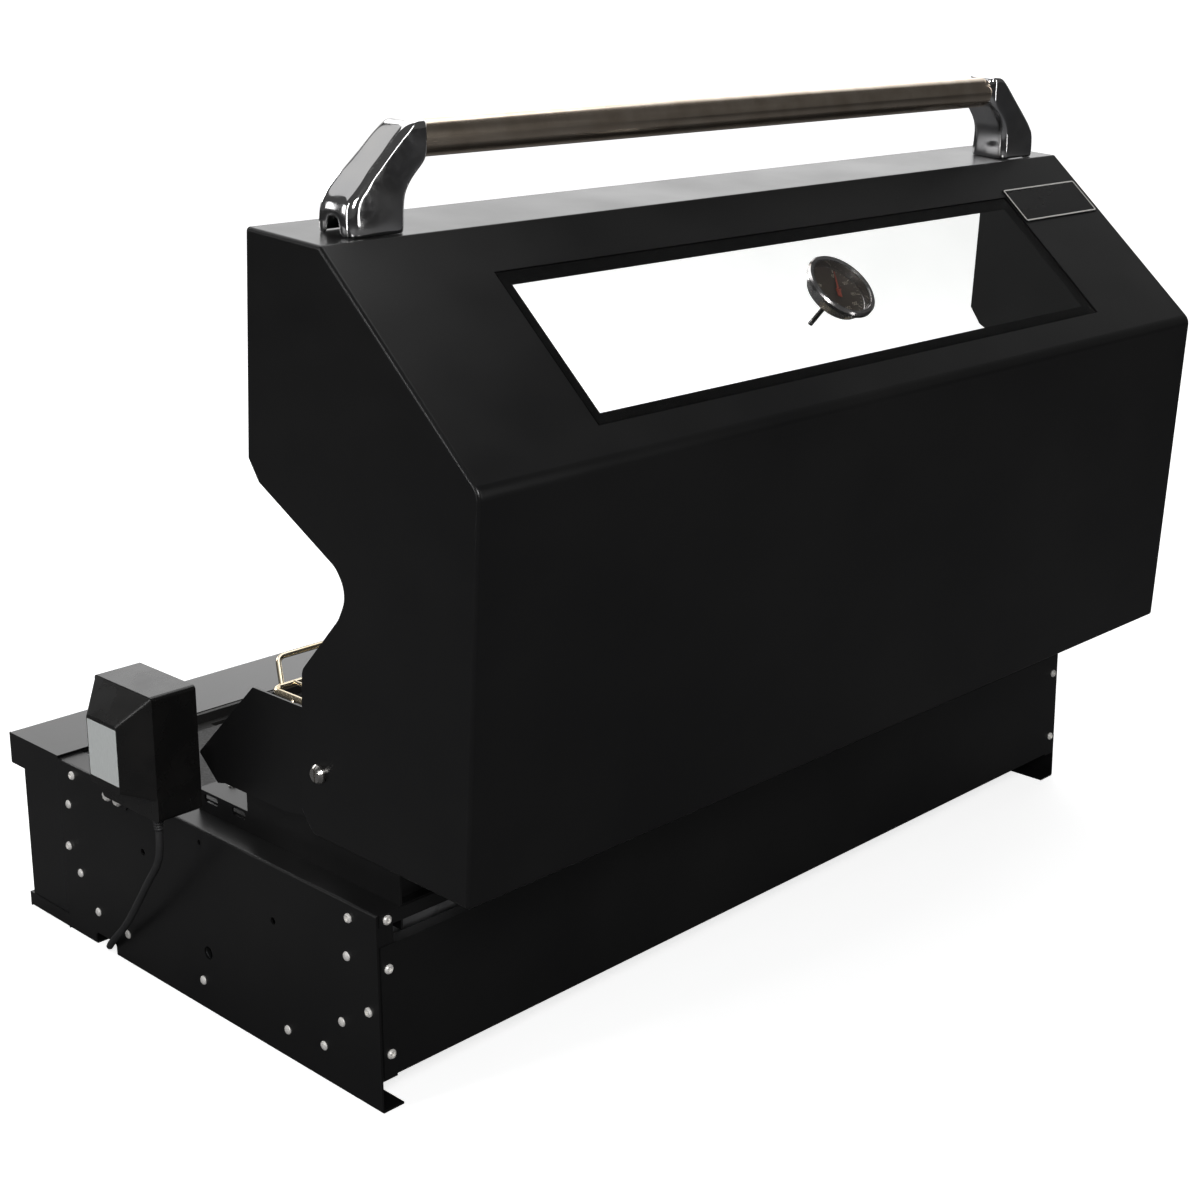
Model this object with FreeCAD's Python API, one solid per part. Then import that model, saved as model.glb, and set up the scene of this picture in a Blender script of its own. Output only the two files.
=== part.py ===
"""Built-in gas grill with a hinged window hood and a rotisserie motor, as separate solids.

All sizes are in millimetres. The grill is laid out in workshop coordinates: X to the
right as seen from the front, Y to the back with 0 at the back of the side plates, and
Z up from the surface it stands on. The hood is drawn closed and then swung open about
its hinge, which is how it is stored. At the end everything is moved so that the origin
lies under the middle of the whole grill.
"""
import FreeCAD, Part
import math
import os

Vector = FreeCAD.Vector

# Overall body
body_length = 1040.0
plate_depth = 505.0
plate_height = 186.0
plate_sheet = 2.0
panel_sheet = 1.5

# Side plates
top_flange = 27.0
foot_flange = 24.0
edge_flange = 18.0
back_flange_start = 30.0
bend_radius = 2.5
plate_screw_places = ((26.0 - plate_depth, 175.0), (10.5 - plate_depth, 94.5), (-37.5, 172.0), (-14.0, 92.0))
rivet_places = ((15.0 - plate_depth, 141.0), (29.0 - plate_depth, 70.5), (58.0 - plate_depth, 37.5),
                (111.0 - plate_depth, 31.5), (-265.0, 29.5), (-133.0, 29.0), (-79.5, 34.5), (-52.5, 68.0),
                (-42.0, 134.5))
mount_hole_radius = 3.5
mount_hole_height = 131.0
mount_hole_front = 148.0 - plate_depth
mount_hole_spacing = 209.0
service_hole_radius = 6.5
service_hole_place = (-254.0, 61.5)
small_hole_radius = 2.5
small_hole_place = (-259.0, 172.0)
cable_notch_middle = -436.0
cable_notch_width = 38.0
cable_notch_height = 13.5

# Screws and rivets
screw_head_radius = 4.4
screw_head_height = 2.4
screw_recess_radius = 2.3
screw_recess_depth = 1.4
screw_shank_radius = 2.0
screw_length = 7.0
rivet_head_radius = 4.4
rivet_head_height = 2.3
rivet_shank_radius = 2.2
hole_clearance = 0.1

# Back panel, back rail and back shield
back_sheet = 1.2
back_inset = 3.0
back_panel_bottom = 33.0
back_panel_top = 156.0
back_return = 12.0
back_rail_bottom = 174.0
back_rail_depth = 26.0
back_screw_heights = (54.0, 134.0)
back_screw_inset = 11.0
rail_screw_height = 179.5
shield_face_y = -12.0
shield_top = 228.0
shield_foot = 12.0

# Hinge walls
wall_sheet = 2.0
wall_skirt = 22.0
wall_front = -297.0
strip_top = 207.0
wall_step_y = -218.0
jog_height = 241.0
jog_end = -128.0
ear_inset = 5.0
ear_front = (-257.0, 261.0)
ear_under = (-230.0, 238.0)
ear_apex = (-168.0, 346.0)
hinge_boss_radius = 46.0
hood_stop_reach = 28.4
hood_stop_low = 247.0
hood_stop_high = 262.0
ledge_width = 46.0
strip_slot_length = 21.0
strip_slot_height = 7.5
strip_slot_rear_ends = (-265.5, -222.0)
strip_slot_middle = 200.5
ledge_screw_inset = 53.0
ledge_screw_y = -277.5

# Hinge of the hood and how far the hood swings
hinge_y = -66.5
hinge_z = 296.0
open_angle = 94.0
hinge_bolt_radius = 4.95
hinge_fit = 0.05
hinge_collar_radius = 8.0
hinge_head_radius = 8.5
hinge_head_height = 5.5
hinge_nut_height = 6.0
running_gap = 0.3

# Hood, drawn closed
hood_sheet = 1.5
hood_overhang = 1.7
hood_front_y = -plate_depth - 13.0
hood_base_z = 197.5
front_face_height = 95.0
slope_run = 154.0
slope_rise = 194.5
hood_top_y = -16.5
back_bottom_y = -5.0
back_corner_z = 293.0
rear_edge_z = 271.0
lip_radius = 14.0
fold_radius = 3.0
top_fold_radius = 14.0
side_fold_radius = 3.5
notch_front_y = -318.0
notch_front_top = (-257.0, 316.0)
notch_apex = (-238.0, 331.0)
notch_rear_top = (-213.0, 320.0)
notch_rear_y = -153.0
notch_rear_round = 34.0
notch_apex_round = 24.0
notch_front_round = 24.0

# Window in the hood's slope
window_end_room = 162.0
window_low = 62.0
window_high = 201.0
window_border = 13.0
glass_thickness = 4.0
glass_recess = 1.0
glass_play = 0.3
frame_sheet = 1.2
frame_wall = 1.5
frame_rim = 11.0

# Thermometer
gauge_height_on_slope = 133.0
gauge_radius = 37.0
gauge_base_radius = 29.0
gauge_depth = 17.0
gauge_wall = 2.0
gauge_bezel_width = 4.5
gauge_bezel_height = 6.0
gauge_lens_thickness = 1.6
gauge_dial_drop = 5.0
gauge_neck_radius = 5.0
gauge_stem_radius = 2.6
gauge_stem_length = 42.0
gauge_nut_radius = 8.5
gauge_nut_height = 5.0
needle_length = 24.0
needle_tail = 9.0
needle_width = 2.2
needle_tip_width = 0.6
needle_start_angle = 150.0
needle_thickness = 0.7
needle_hub_radius = 2.4
pivot_radius = 0.8
pivot_fit = 0.05

# Handle
handle_height_on_face = 66.0
handle_stand_off = 73.0
handle_tube_radius = 16.0
handle_tube_wall = 1.5
handle_end_room = 108.0
handle_socket_depth = 12.0
bracket_foot_offset = 14.0
bracket_foot_length = 60.0
bracket_cap_length = 22.0
bracket_width = 48.0
bracket_shoulder = 28.0
bracket_round = 7.0
bracket_wall = 3.0
bracket_cover = 1.8
bracket_hollow_height = 50.0
bracket_slab = 8.0
bracket_flank_depth = 2.5
bracket_notch_width = 16.0
bracket_notch_height = 16.0

# Control panel, end caps and front rail
shelf_depth = 94.0
shelf_rise = 3.0
shelf_lip = 33.5
fascia_setback = 24.0
rail_height = 15.5
rail_overhang = 7.0
cap_step = 0.8

# Gas train and knobs
burner_count = 6
gas_axis_z = 118.0
manifold_radius = 11.0
manifold_wall = 2.0
manifold_y = -plate_depth - 40.0
valve_width = 28.0
valve_depth = 38.0
valve_height = 28.0
inlet_thread_radius = 7.94
inlet_thread_length = 16.0
inlet_nut_radius = 12.0
inlet_nut_length = 12.0
inlet_bore_radius = 4.5
nozzle_radius = 3.0
stem_radius = 4.0
stem_fit = 0.06
stem_depth_in_valve = 16.0
stem_travel = 3.0
knob_radius = 24.0
knob_depth = 27.0
knob_gap = 3.6
knob_grip_width = 11.0
knob_fit = 0.05
knob_bore_depth = 18.0

# Firebox
firebox_bottom = 78.0
firebox_top = 184.0
firebox_front = 2.0 - plate_depth
firebox_back = -16.0
plate_seat = 176.0
tamer_seat = 140.0
seat_width = 13.0
firebox_lip = 22.0

# Burners and flame tamers
burner_width = 42.0
burner_height = 24.0
burner_wall = 1.2
burner_front = 27.0 - plate_depth
burner_back = -62.0
burner_port_count = 22
burner_port_width = 1.6
burner_port_depth = 9.0
venturi_radius = 10.0
venturi_mouth = -plate_depth - 19.0
burner_pin_radius = 4.0
tamer_count = 3
tamer_half_width = 118.0
tamer_rise = 20.0
tamer_sheet = 1.2

# Cooking plates
plate_end_room = 40.0
plate_count = 3
plate_play = 0.6
cook_plate_depth = plate_depth - 25.0
cook_plate_thickness = 14.0
cook_plate_floor = 8.0
cook_rim = 5.0
trough_width = 25.0
trough_depth = 4.0
grill_slot_width = 8.0
grill_slot_pitch = 16.0
grill_web = 12.0

# Warming rack
rack_z = 281.0
rack_front = -297.0
rack_back = -185.0
rack_end_room = 117.0
rack_wire_radius = 3.3
rack_rail_radius = 2.8
rack_rod_radius = 2.0
rack_rod_spacing = 25.0
rack_rail_rise = 20.0
rack_rail_reach = 26.0
rack_rail_inset = 26.0
rack_rail_foot_inset = 11.0
rack_rail_bend = 12.0
rack_foot_inset = 65.0
rack_leg_radius = 2.9
rack_foot_radius = 7.0
rack_foot_height = 4.0
rack_corner_bend = 10.0
rack_leg_front = -262.0
rack_leg_back = -232.0

# Drip tray and its runners
tray_side_room = 78.0
tray_bottom = 38.0
tray_side = 26.0
tray_sheet = 1.2
tray_back = -30.0
tray_front_bottom = 22.0
tray_front_top = 76.0
tray_front_overlap = 12.0
tray_gap = 1.0
tray_grip_height = 12.0
tray_grip_reach = 20.0
tray_grip_half_length = 110.0
tray_grip_sheet = 2.5
tray_grip_lip = 8.0
runner_sheet = 2.0
runner_overlap = 12.0
runner_rise = 24.0

# Rotisserie motor
motor_side_gap = 5.0
motor_width = 46.0
motor_front = -335.0
motor_back = -242.0
motor_bottom = 212.0
motor_top = 331.5
motor_wall = 2.5
motor_round = 4.0
boss_reach = 24.0
boss_inset = 22.0
boss_drop = 26.0
boss_bottom = 240.0
boss_foot = 8.0
spit_y = -262.0
spit_z = 275.0
socket_radius = 11.0
socket_flange_radius = 14.0
socket_flange = 3.0
socket_length = 24.0
socket_square = 8.6
motor_bracket_sheet = 2.0
bracket_bolt_places = ((-404.0, 178.0), (-386.0, 178.0))
bracket_tab_front = -425.0
bracket_tab_back = -372.0
bracket_tab_bottom = 168.0
bracket_tab_top = 214.0
bracket_bolt_radius = 3.0
bracket_bolt_head_radius = 6.0
bracket_bolt_head_height = 4.5
bracket_nut_radius = 5.5
bracket_nut_height = 4.5
switch_length = 19.0
switch_width = 15.0
switch_height_above_base = 40.0
switch_stand_out = 3.2
switch_dip = 1.8
switch_play = 0.9
switch_travel = 16.0

# Cord, its coil and its plug
cord_diameter = 7.0
cord_clearance = 0.6
cord_exit = (559.5, -261.5)
gland_radius = 6.0
gland_tip_radius = 4.4
gland_length = 20.5
gland_seat = 5.0
coil_middle = (398.0, -400.0)
coil_turns_per_layer = 3
coil_inner_radius = 24.0
coil_tail = 38.0
plug_length = 42.0
plug_width = 34.0
plug_height = 22.0
plug_neck_width = 11.0
plug_waist_width = 16.0
plug_neck_length = 12.0
pin_radius = 2.4
pin_length = 19.0
pin_spacing = 19.0

# Values that follow from the ones above
half_length = body_length / 2
plate_inner_x = half_length - plate_sheet
wall_x = half_length - top_flange
ear_plane = half_length - ear_inset
window_half_length = half_length - window_end_room
handle_tube_half_length = half_length - handle_end_room
plate_pitch = 2 * (half_length - plate_end_room) / plate_count
burner_pitch = 2 * (half_length - plate_end_room) / burner_count
rack_half_length = half_length - rack_end_room
rack_rail_half_length = rack_half_length - rack_rail_inset
rack_rail_foot_half = rack_half_length - rack_rail_foot_inset
rack_foot_x = half_length - rack_foot_inset
motor_inner_x = half_length + motor_side_gap
hood_half = half_length + hood_overhang
slope_angle = math.degrees(math.atan2(slope_rise, slope_run))
fold_z = hood_base_z + front_face_height
slope_top_y = hood_front_y + slope_run
slope_top_z = fold_z + slope_rise
shelf_top = plate_height + shelf_rise
panel_back = -plate_depth
panel_front = panel_back - shelf_depth
fascia_y = panel_front + fascia_setback
lip_bottom = shelf_top - shelf_lip
tray_half_width = plate_inner_x - tray_side_room
tray_front_half_length = tray_half_width + tray_front_overlap
bracket_top_inner_x = handle_tube_half_length - handle_socket_depth
bracket_top_outer_x = bracket_top_inner_x + bracket_cap_length
bracket_inner_x = handle_tube_half_length + bracket_foot_offset
bracket_outer_x = bracket_inner_x + bracket_foot_length
cord_radius = cord_diameter / 2


def box(x0, x1, y0, y1, z0, z1):
    """A box between two corners."""
    return Part.makeBox(abs(x1 - x0), abs(y1 - y0), abs(z1 - z0),
                        Vector(min(x0, x1), min(y0, y1), min(z0, z1)))


def rounded_wire(points):
    """A closed outline in the XY plane; a point (a, b, r) has its corner rounded by r."""
    corners = []
    count = len(points)
    for index, point in enumerate(points):
        here = Vector(point[0], point[1], 0)
        radius = point[2] if len(point) > 2 else 0.0
        if radius == 0.0:
            corners.append((here, here, here))
            continue
        before = Vector(points[index - 1][0], points[index - 1][1], 0) - here
        after = Vector(points[(index + 1) % count][0], points[(index + 1) % count][1], 0) - here
        before.normalize()
        after.normalize()
        half_turn = before.getAngle(after) / 2
        cut = radius / math.tan(half_turn)
        middle = before + after
        middle.normalize()
        crown = here + middle * (radius / math.sin(half_turn) - radius)
        corners.append((here + before * cut, crown, here + after * cut))
    edges = []
    for index, (start, crown, end) in enumerate(corners):
        if (start - end).Length > 1e-6:
            edges.append(Part.Arc(start, crown, end).toShape())
        following = corners[(index + 1) % count][0]
        if (following - end).Length > 1e-6:
            edges.append(Part.LineSegment(end, following).toShape())
    return Part.Wire(edges)


def flat_solid(points, thickness):
    """An outline in the XY plane given a thickness along Z."""
    return Part.Face(rounded_wire(points)).extrude(Vector(0, 0, thickness))


def prism_x(points, x0, x1):
    """An outline of (y, z) points, carried along X from x0 to x1."""
    solid = flat_solid(points, x1 - x0)
    solid.Placement = FreeCAD.Placement(Vector(x0, 0, 0), FreeCAD.Rotation(Vector(0, 1, 0),
                                        Vector(0, 0, 1), Vector(1, 0, 0), "XYZ"))
    return solid


def prism_y(points, y0, y1):
    """An outline of (x, z) points, carried along Y from y0 to y1."""
    solid = flat_solid([(p[0], -p[1]) + tuple(p[2:]) for p in points], y1 - y0)
    solid.Placement = FreeCAD.Placement(Vector(0, y0, 0), FreeCAD.Rotation(Vector(1, 0, 0),
                                        Vector(0, 0, -1), Vector(0, 1, 0), "XYZ"))
    return solid


def prism_z(points, z0, z1):
    """An outline of (x, y) points, carried along Z from z0 to z1."""
    return flat_solid(points, z1 - z0).translate(Vector(0, 0, z0))


def rod(start, end, radius):
    """A round bar between two points."""
    start = Vector(*start)
    direction = Vector(*end) - start
    return Part.makeCylinder(radius, direction.Length, start, direction)


def turned(profile, base, direction):
    """A turned piece: a closed profile of (radius, height) points about an axis."""
    wire = rounded_wire([(p[0], p[1]) for p in profile])
    face = Part.Face(wire)
    solid = face.revolve(Vector(0, 0, 0), Vector(0, 1, 0), 360)
    solid.Placement = FreeCAD.Placement(Vector(*base), FreeCAD.Rotation(Vector(0, 1, 0), Vector(*direction)))
    return solid


def hexagon(across, base, direction, height):
    """A hexagonal prism, such as a nut, with its base at a point."""
    corners = [Vector(across * math.cos(math.radians(60 * k)), across * math.sin(math.radians(60 * k)), 0)
               for k in range(6)]
    face = Part.Face(Part.makePolygon(corners + corners[:1]))
    solid = face.extrude(Vector(0, 0, height))
    solid.Placement = FreeCAD.Placement(Vector(*base), FreeCAD.Rotation(Vector(0, 0, 1), Vector(*direction)))
    return solid


def joined(solids):
    """One solid made of overlapping ones."""
    first, *rest = solids
    return first.fuse(rest).removeSplitter()


def mirrored(shape):
    """The same piece for the other end of the grill."""
    return shape.mirror(Vector(0, 0, 0), Vector(1, 0, 0))


def round_edges(shape, radius, chosen):
    """The shape with the chosen edges rounded."""
    edges = [edge for edge in shape.Edges if chosen(edge)]
    return shape.makeFillet(radius, edges)


def runs_along(edge, axis):
    """Whether an edge is a straight one along an axis."""
    if edge.Curve.TypeId != "Part::GeomLine":
        return False
    return abs(abs(edge.tangentAt(edge.FirstParameter).dot(Vector(*axis))) - 1) < 1e-6


def middle_of(edge):
    """The middle of an edge's box."""
    return edge.BoundBox.Center


def on_slope(shape):
    """Puts a piece drawn flat, with Y up the slope and Z outwards, on the closed hood's slope."""
    shape.rotate(Vector(0, 0, 0), Vector(1, 0, 0), slope_angle)
    return shape.translate(Vector(0, hood_front_y, fold_z))


def on_front_face(shape):
    """Puts a piece drawn flat, with Y upwards and Z outwards, on the closed hood's front face."""
    shape.rotate(Vector(0, 0, 0), Vector(1, 0, 0), 90)
    return shape.translate(Vector(0, hood_front_y, hood_base_z))


def swung_open(shape):
    """Swings a piece of the closed hood back about the hinge to the open pose."""
    return shape.rotate(Vector(0, hinge_y, hinge_z), Vector(1, 0, 0), -open_angle)


def screw_at(place, direction):
    """A button-head screw with a socket, its head's underside at a point, head outwards."""
    head = turned([(0, -screw_length), (screw_shank_radius, -screw_length), (screw_shank_radius, 0),
                   (screw_head_radius, 0), (screw_head_radius, 0.4 * screw_head_height),
                   (0.7 * screw_head_radius, screw_head_height), (0, screw_head_height)], place, direction)
    outwards = Vector(*direction)
    floor = Vector(*place) + outwards * (screw_head_height - screw_recess_depth)
    socket = hexagon(screw_recess_radius, tuple(floor), direction, screw_recess_depth + 1)
    return head.cut(socket)


def rivet_at(place, direction):
    """A dome rivet, its head's underside at a point."""
    steps = 6
    dome = [(rivet_head_radius * math.cos(math.radians(90 * k / steps)),
             rivet_head_height * math.sin(math.radians(90 * k / steps))) for k in range(steps)]
    profile = [(0, -plate_sheet - 1), (rivet_shank_radius, -plate_sheet - 1), (rivet_shank_radius, 0)]
    return turned(profile + dome + [(0, rivet_head_height)], place, direction)


def side_plate():
    """The folded side plate of the right end, with its flanges and holes."""
    outer = half_length
    web = box(plate_inner_x, outer, -plate_depth, 0, 0, plate_height)
    top = box(outer - top_flange, outer, -plate_depth, 0, plate_height - plate_sheet, plate_height)
    foot = box(outer - foot_flange, outer, -plate_depth, 0, 0, plate_sheet)
    back = box(outer - edge_flange, outer, -plate_sheet, 0, back_flange_start, plate_height)
    front_end = -plate_depth
    front = box(outer - edge_flange, outer, front_end, front_end + plate_sheet, rail_height, plate_height)
    plate = joined([web, top, foot, back, front])
    plate = round_edges(plate, bend_radius, lambda e: runs_along(e, (0, 1, 0))
                        and middle_of(e).x > outer - 0.1
                        and e.Length > 0.9 * plate_depth)
    holes = [rod((outer - 5, y, z), (outer + 5, y, z), screw_shank_radius + hole_clearance)
             for y, z in plate_screw_places]
    holes += [rod((outer - 5, y, z), (outer + 5, y, z), rivet_shank_radius + hole_clearance)
              for y, z in rivet_places]
    z = mount_hole_height
    for y in (mount_hole_front, mount_hole_front + mount_hole_spacing):
        holes.append(rod((outer - 5, y, z), (outer + 5, y, z), mount_hole_radius))
    y, z = service_hole_place
    holes.append(rod((outer - 5, y, z), (outer + 5, y, z), service_hole_radius))
    y, z = small_hole_place
    holes.append(rod((outer - 5, y, z), (outer + 5, y, z), small_hole_radius))
    for z in back_screw_heights + (rail_screw_height,):
        x = outer - back_screw_inset
        holes.append(rod((x, -5, z), (x, 5, z), screw_shank_radius + hole_clearance))
    return plate.cut(holes)


def right_side_plate():
    """The right side plate also carries the motor bracket and lets the cord in under its edge."""
    plate = side_plate()
    holes = [rod((half_length - 5, y, z), (half_length + 5, y, z), bracket_bolt_radius + hole_clearance)
             for y, z in bracket_bolt_places]
    half = cable_notch_width / 2
    notch = prism_x([(cable_notch_middle - half, -1), (cable_notch_middle + half, -1),
                     (cable_notch_middle + half, cable_notch_height, 5),
                     (cable_notch_middle - half, cable_notch_height, 5)],
                    half_length - foot_flange - 1, half_length + 1)
    return plate.cut(holes + [notch])


def back_panel():
    """The back panel, screwed over the back flanges of the side plates."""
    half = half_length - back_inset
    inner = half_length - edge_flange - 1.0
    sheet = box(-half, half, 0, back_sheet, back_panel_bottom, back_panel_top)
    low = box(-inner, inner, -back_return, 0.5, back_panel_bottom, back_panel_bottom + back_sheet)
    high = box(-inner, inner, -back_return, 0.5, back_panel_top - back_sheet, back_panel_top)
    panel = joined([sheet, low, high])
    holes = []
    for side in (-1, 1):
        for z in back_screw_heights:
            x = side * (half_length - back_screw_inset)
            holes.append(rod((x, -5, z), (x, 5, z), screw_shank_radius + hole_clearance))
    return panel.cut(holes)


def back_rail():
    """The folded rail across the back, above the vent gap."""
    half = half_length - back_inset
    inner = half_length - top_flange - wall_sheet
    sheet = box(-half, half, 0, back_sheet, back_rail_bottom, plate_height)
    low = box(-inner, inner, -back_rail_depth, 0.5, back_rail_bottom, back_rail_bottom + back_sheet)
    high = box(-inner, inner, firebox_back, 0.5, plate_height - back_sheet, plate_height)
    web = box(-inner, inner, firebox_back, firebox_back + back_sheet, back_rail_bottom, plate_height)
    low = low.cut(box(-inner, inner, -back_rail_depth - 1, firebox_back, 0, plate_height))
    rail = joined([sheet, low, high, web])
    holes = []
    for side in (-1, 1):
        x = side * (half_length - back_screw_inset)
        holes.append(rod((x, -5, rail_screw_height), (x, 5, rail_screw_height),
                         screw_shank_radius + hole_clearance))
    return rail.cut(holes)


def back_shield():
    """The low wind shield that stands on the back rail behind the cooking plates."""
    half = wall_x - wall_sheet
    y, z = shield_face_y, plate_height
    face = box(-half, half, y, y + back_sheet, z, shield_top)
    foot = box(-half, half, y, y + shield_foot, z, z + back_sheet)
    return joined([face, foot])


def hinge_wall():
    """The right wall that stands on the side plate's flange and carries the hood's hinge."""
    skirt_end, rear = plate_height - wall_skirt, shield_face_y + shield_foot
    low = prism_x([(wall_front, skirt_end), (rear, skirt_end), (rear, shield_top), (jog_end, shield_top, 6),
                   (jog_end, jog_height + wall_sheet), (wall_step_y, jog_height + wall_sheet),
                   (wall_step_y, strip_top), (wall_front, strip_top)],
                  wall_x - wall_sheet, wall_x)
    jog = box(wall_x - wall_sheet, ear_plane, wall_step_y, jog_end, jog_height, jog_height + wall_sheet)
    stop_y = hinge_y - hood_stop_reach
    ear = prism_x([ear_under, (wall_step_y, jog_height), (jog_end, jog_height), (stop_y, hood_stop_low),
                   (stop_y, hood_stop_high), (hinge_y, hood_stop_high), (hinge_y, ear_apex[1]),
                   ear_apex + (4,), ear_front + (2,)],
                  ear_plane - wall_sheet, ear_plane)
    boss = rod((ear_plane - wall_sheet, hinge_y, hinge_z), (ear_plane, hinge_y, hinge_z), hinge_boss_radius)
    ledge = box(wall_x - ledge_width, wall_x, wall_front, wall_step_y, strip_top - wall_sheet, strip_top)
    above_boss = box(ear_plane - 5, ear_plane + 5, hinge_y, 0, hinge_z + hinge_boss_radius, ear_apex[1] + 50)
    ear = ear.cut(above_boss)
    wall = joined([low, jog, ear, boss, ledge])
    cuts = [rod((ear_plane - 5, hinge_y, hinge_z), (ear_plane + 5, hinge_y, hinge_z),
                hinge_bolt_radius + hinge_fit)]
    half = strip_slot_height / 2
    for end in strip_slot_rear_ends:
        cuts.append(prism_x([(end - strip_slot_length, strip_slot_middle - half, 3),
                             (end, strip_slot_middle - half, 3), (end, strip_slot_middle + half, 3),
                             (end - strip_slot_length, strip_slot_middle + half, 3)], wall_x - 5, wall_x + 5))
    x, y = half_length - ledge_screw_inset, ledge_screw_y
    cuts.append(rod((x, y, strip_top - 5), (x, y, strip_top + 5), screw_shank_radius + hole_clearance))
    return wall.cut(cuts)


def firebox():
    """The open firebox: four walls, seats for the cooking plates and tamers, and a lip below."""
    half = wall_x - wall_sheet
    t = panel_sheet
    outer = box(-half, half, firebox_front, firebox_back, firebox_bottom, firebox_top)
    inner = box(-half + t, half - t, firebox_front + t, firebox_back - t, firebox_bottom - 1, firebox_top + 1)
    shell = outer.cut(inner)
    pieces = [shell]
    for seat in (plate_seat, tamer_seat):
        pieces.append(box(-half, half, firebox_front, firebox_front + seat_width, seat - t, seat))
        pieces.append(box(-half, half, firebox_back - seat_width, firebox_back, seat - t, seat))
    lip = box(-half, half, firebox_front, firebox_back, firebox_bottom, firebox_bottom + t)
    lip = lip.cut(box(-half + firebox_lip, half - firebox_lip, firebox_front + firebox_lip,
                      firebox_back - firebox_lip, firebox_bottom - 1, firebox_bottom + t + 1))
    pieces.append(lip)
    body = joined(pieces)
    holes = []
    for x in burner_places():
        holes.append(rod((x, firebox_front - 5, gas_axis_z), (x, firebox_front + 5, gas_axis_z),
                         venturi_radius + running_gap))
        holes.append(rod((x, firebox_back - 5, gas_axis_z), (x, firebox_back + 5, gas_axis_z),
                         burner_pin_radius + running_gap))
    return body.cut(holes)


def burner_places():
    """The X of each burner, valve and knob, from left to right."""
    middle = (burner_count - 1) / 2
    return [(k - middle) * burner_pitch for k in range(burner_count)]


def burner():
    """One bar burner, hollow, with ports along both shoulders and its mixing tube in front."""
    w, h, t = burner_width / 2, burner_height / 2, burner_wall
    z = gas_axis_z

    def section(inset):
        """The bar's section, smaller by an inset."""
        return [(-w + inset, z - h + inset), (w - inset, z - h + inset), (w - inset, z + 0.2 * h),
                (0.45 * w, z + h - inset), (-0.45 * w, z + h - inset), (-w + inset, z + 0.2 * h)]

    outside = prism_y(section(0), burner_front, burner_back)
    inside = prism_y(section(t), burner_front + t, burner_back - t)
    tube = rod((0, venturi_mouth, z), (0, burner_front + t, z), venturi_radius)
    pin = rod((0, burner_back - t, z), (0, firebox_back + 2, z), burner_pin_radius)
    bore = rod((0, venturi_mouth - 1, z), (0, burner_front + 2 * t, z), venturi_radius - t)
    body = joined([outside, tube, pin]).cut([inside, bore])
    ports = []
    step = (burner_back - burner_front - 40) / (burner_port_count - 1)
    for k in range(burner_port_count):
        y = burner_front + 20 + k * step
        for side in (-1, 1):
            x = side * 0.72 * w
            ports.append(box(x - burner_port_depth / 2, x + burner_port_depth / 2,
                             y - burner_port_width / 2, y + burner_port_width / 2, z, z + h))
    return body.cut(ports)


def flame_tamers():
    """The folded sheets that cover the burners and spread their heat."""
    solids = []
    y0, y1 = firebox_front + panel_sheet + 1.0, firebox_back - panel_sheet - 1.0
    for k in range(tamer_count):
        x = (k - (tamer_count - 1) / 2) * plate_pitch
        w = tamer_half_width
        top = [(x - w, tamer_seat), (x - w / 2, tamer_seat + tamer_rise), (x, tamer_seat),
               (x + w / 2, tamer_seat + tamer_rise), (x + w, tamer_seat)]
        bottom = [(px, pz + tamer_sheet) for px, pz in reversed(top)]
        solids.append(prism_y(top + bottom, y0, y1))
    return Part.makeCompound(solids)


def cooking_plate_blank(x):
    """The rimmed cast plate with its grease trough, before any grill slots."""
    half = plate_pitch / 2 - plate_play
    y0 = firebox_front + panel_sheet + 1.5
    y1 = y0 + cook_plate_depth
    top = plate_seat + cook_plate_thickness
    floor = plate_seat + cook_plate_floor
    block = box(x - half, x + half, y0, y1, plate_seat, top)
    block = round_edges(block, 4.0, lambda e: runs_along(e, (0, 0, 1)))
    trough_end = y0 + cook_rim + trough_width
    trough = box(x - half + cook_rim, x + half - cook_rim, y0 + cook_rim, trough_end,
                 floor - trough_depth, top + 1)
    pan = box(x - half + cook_rim, x + half - cook_rim, trough_end + cook_rim, y1 - cook_rim, floor, top + 1)
    lead = box(x - half + 4 * cook_rim, x + half - 4 * cook_rim, trough_end - 1, trough_end + cook_rim + 1,
               floor, top + 1)
    plate = block.cut([trough, pan, lead])
    slots = []
    for k in range(3):
        middle = x + (k - 1) * plate_pitch / 3.5
        slots.append(box(middle - 30, middle + 30, y0 + cook_rim + 8, y0 + cook_rim + 17,
                         plate_seat - 1, top))
    return plate.cut(slots)


def grill_plate(x):
    """A cast grill: bars with slots between them, in two fields."""
    plate = cooking_plate_blank(x)
    y0 = firebox_front + panel_sheet + 1.5
    start = y0 + 2 * cook_rim + trough_width + 8
    end = y0 + cook_plate_depth - cook_rim - 8
    middle = (start + end) / 2
    usable = plate_pitch - 2 * plate_play - 4 * cook_rim
    count = int(usable // grill_slot_pitch)
    slots = []
    ridges = []
    for k in range(count):
        sx = x + (k - (count - 1) / 2) * grill_slot_pitch
        for a, b in ((start, middle - grill_web / 2), (middle + grill_web / 2, end)):
            slots.append(box(sx - grill_slot_width / 2, sx + grill_slot_width / 2, a, b,
                             plate_seat - 1, plate_seat + cook_plate_thickness))
    for k in range(count - 1):
        rx = x + (k - (count - 2) / 2) * grill_slot_pitch
        ridges.append(prism_y([(rx - 3.2, plate_seat + cook_plate_floor - 0.5),
                               (rx + 3.2, plate_seat + cook_plate_floor - 0.5),
                               (rx + 1.6, plate_seat + cook_plate_thickness - 1.5),
                               (rx - 1.6, plate_seat + cook_plate_thickness - 1.5)], start - 4, end + 4))
    return joined([plate.cut(slots)] + ridges)


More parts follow.
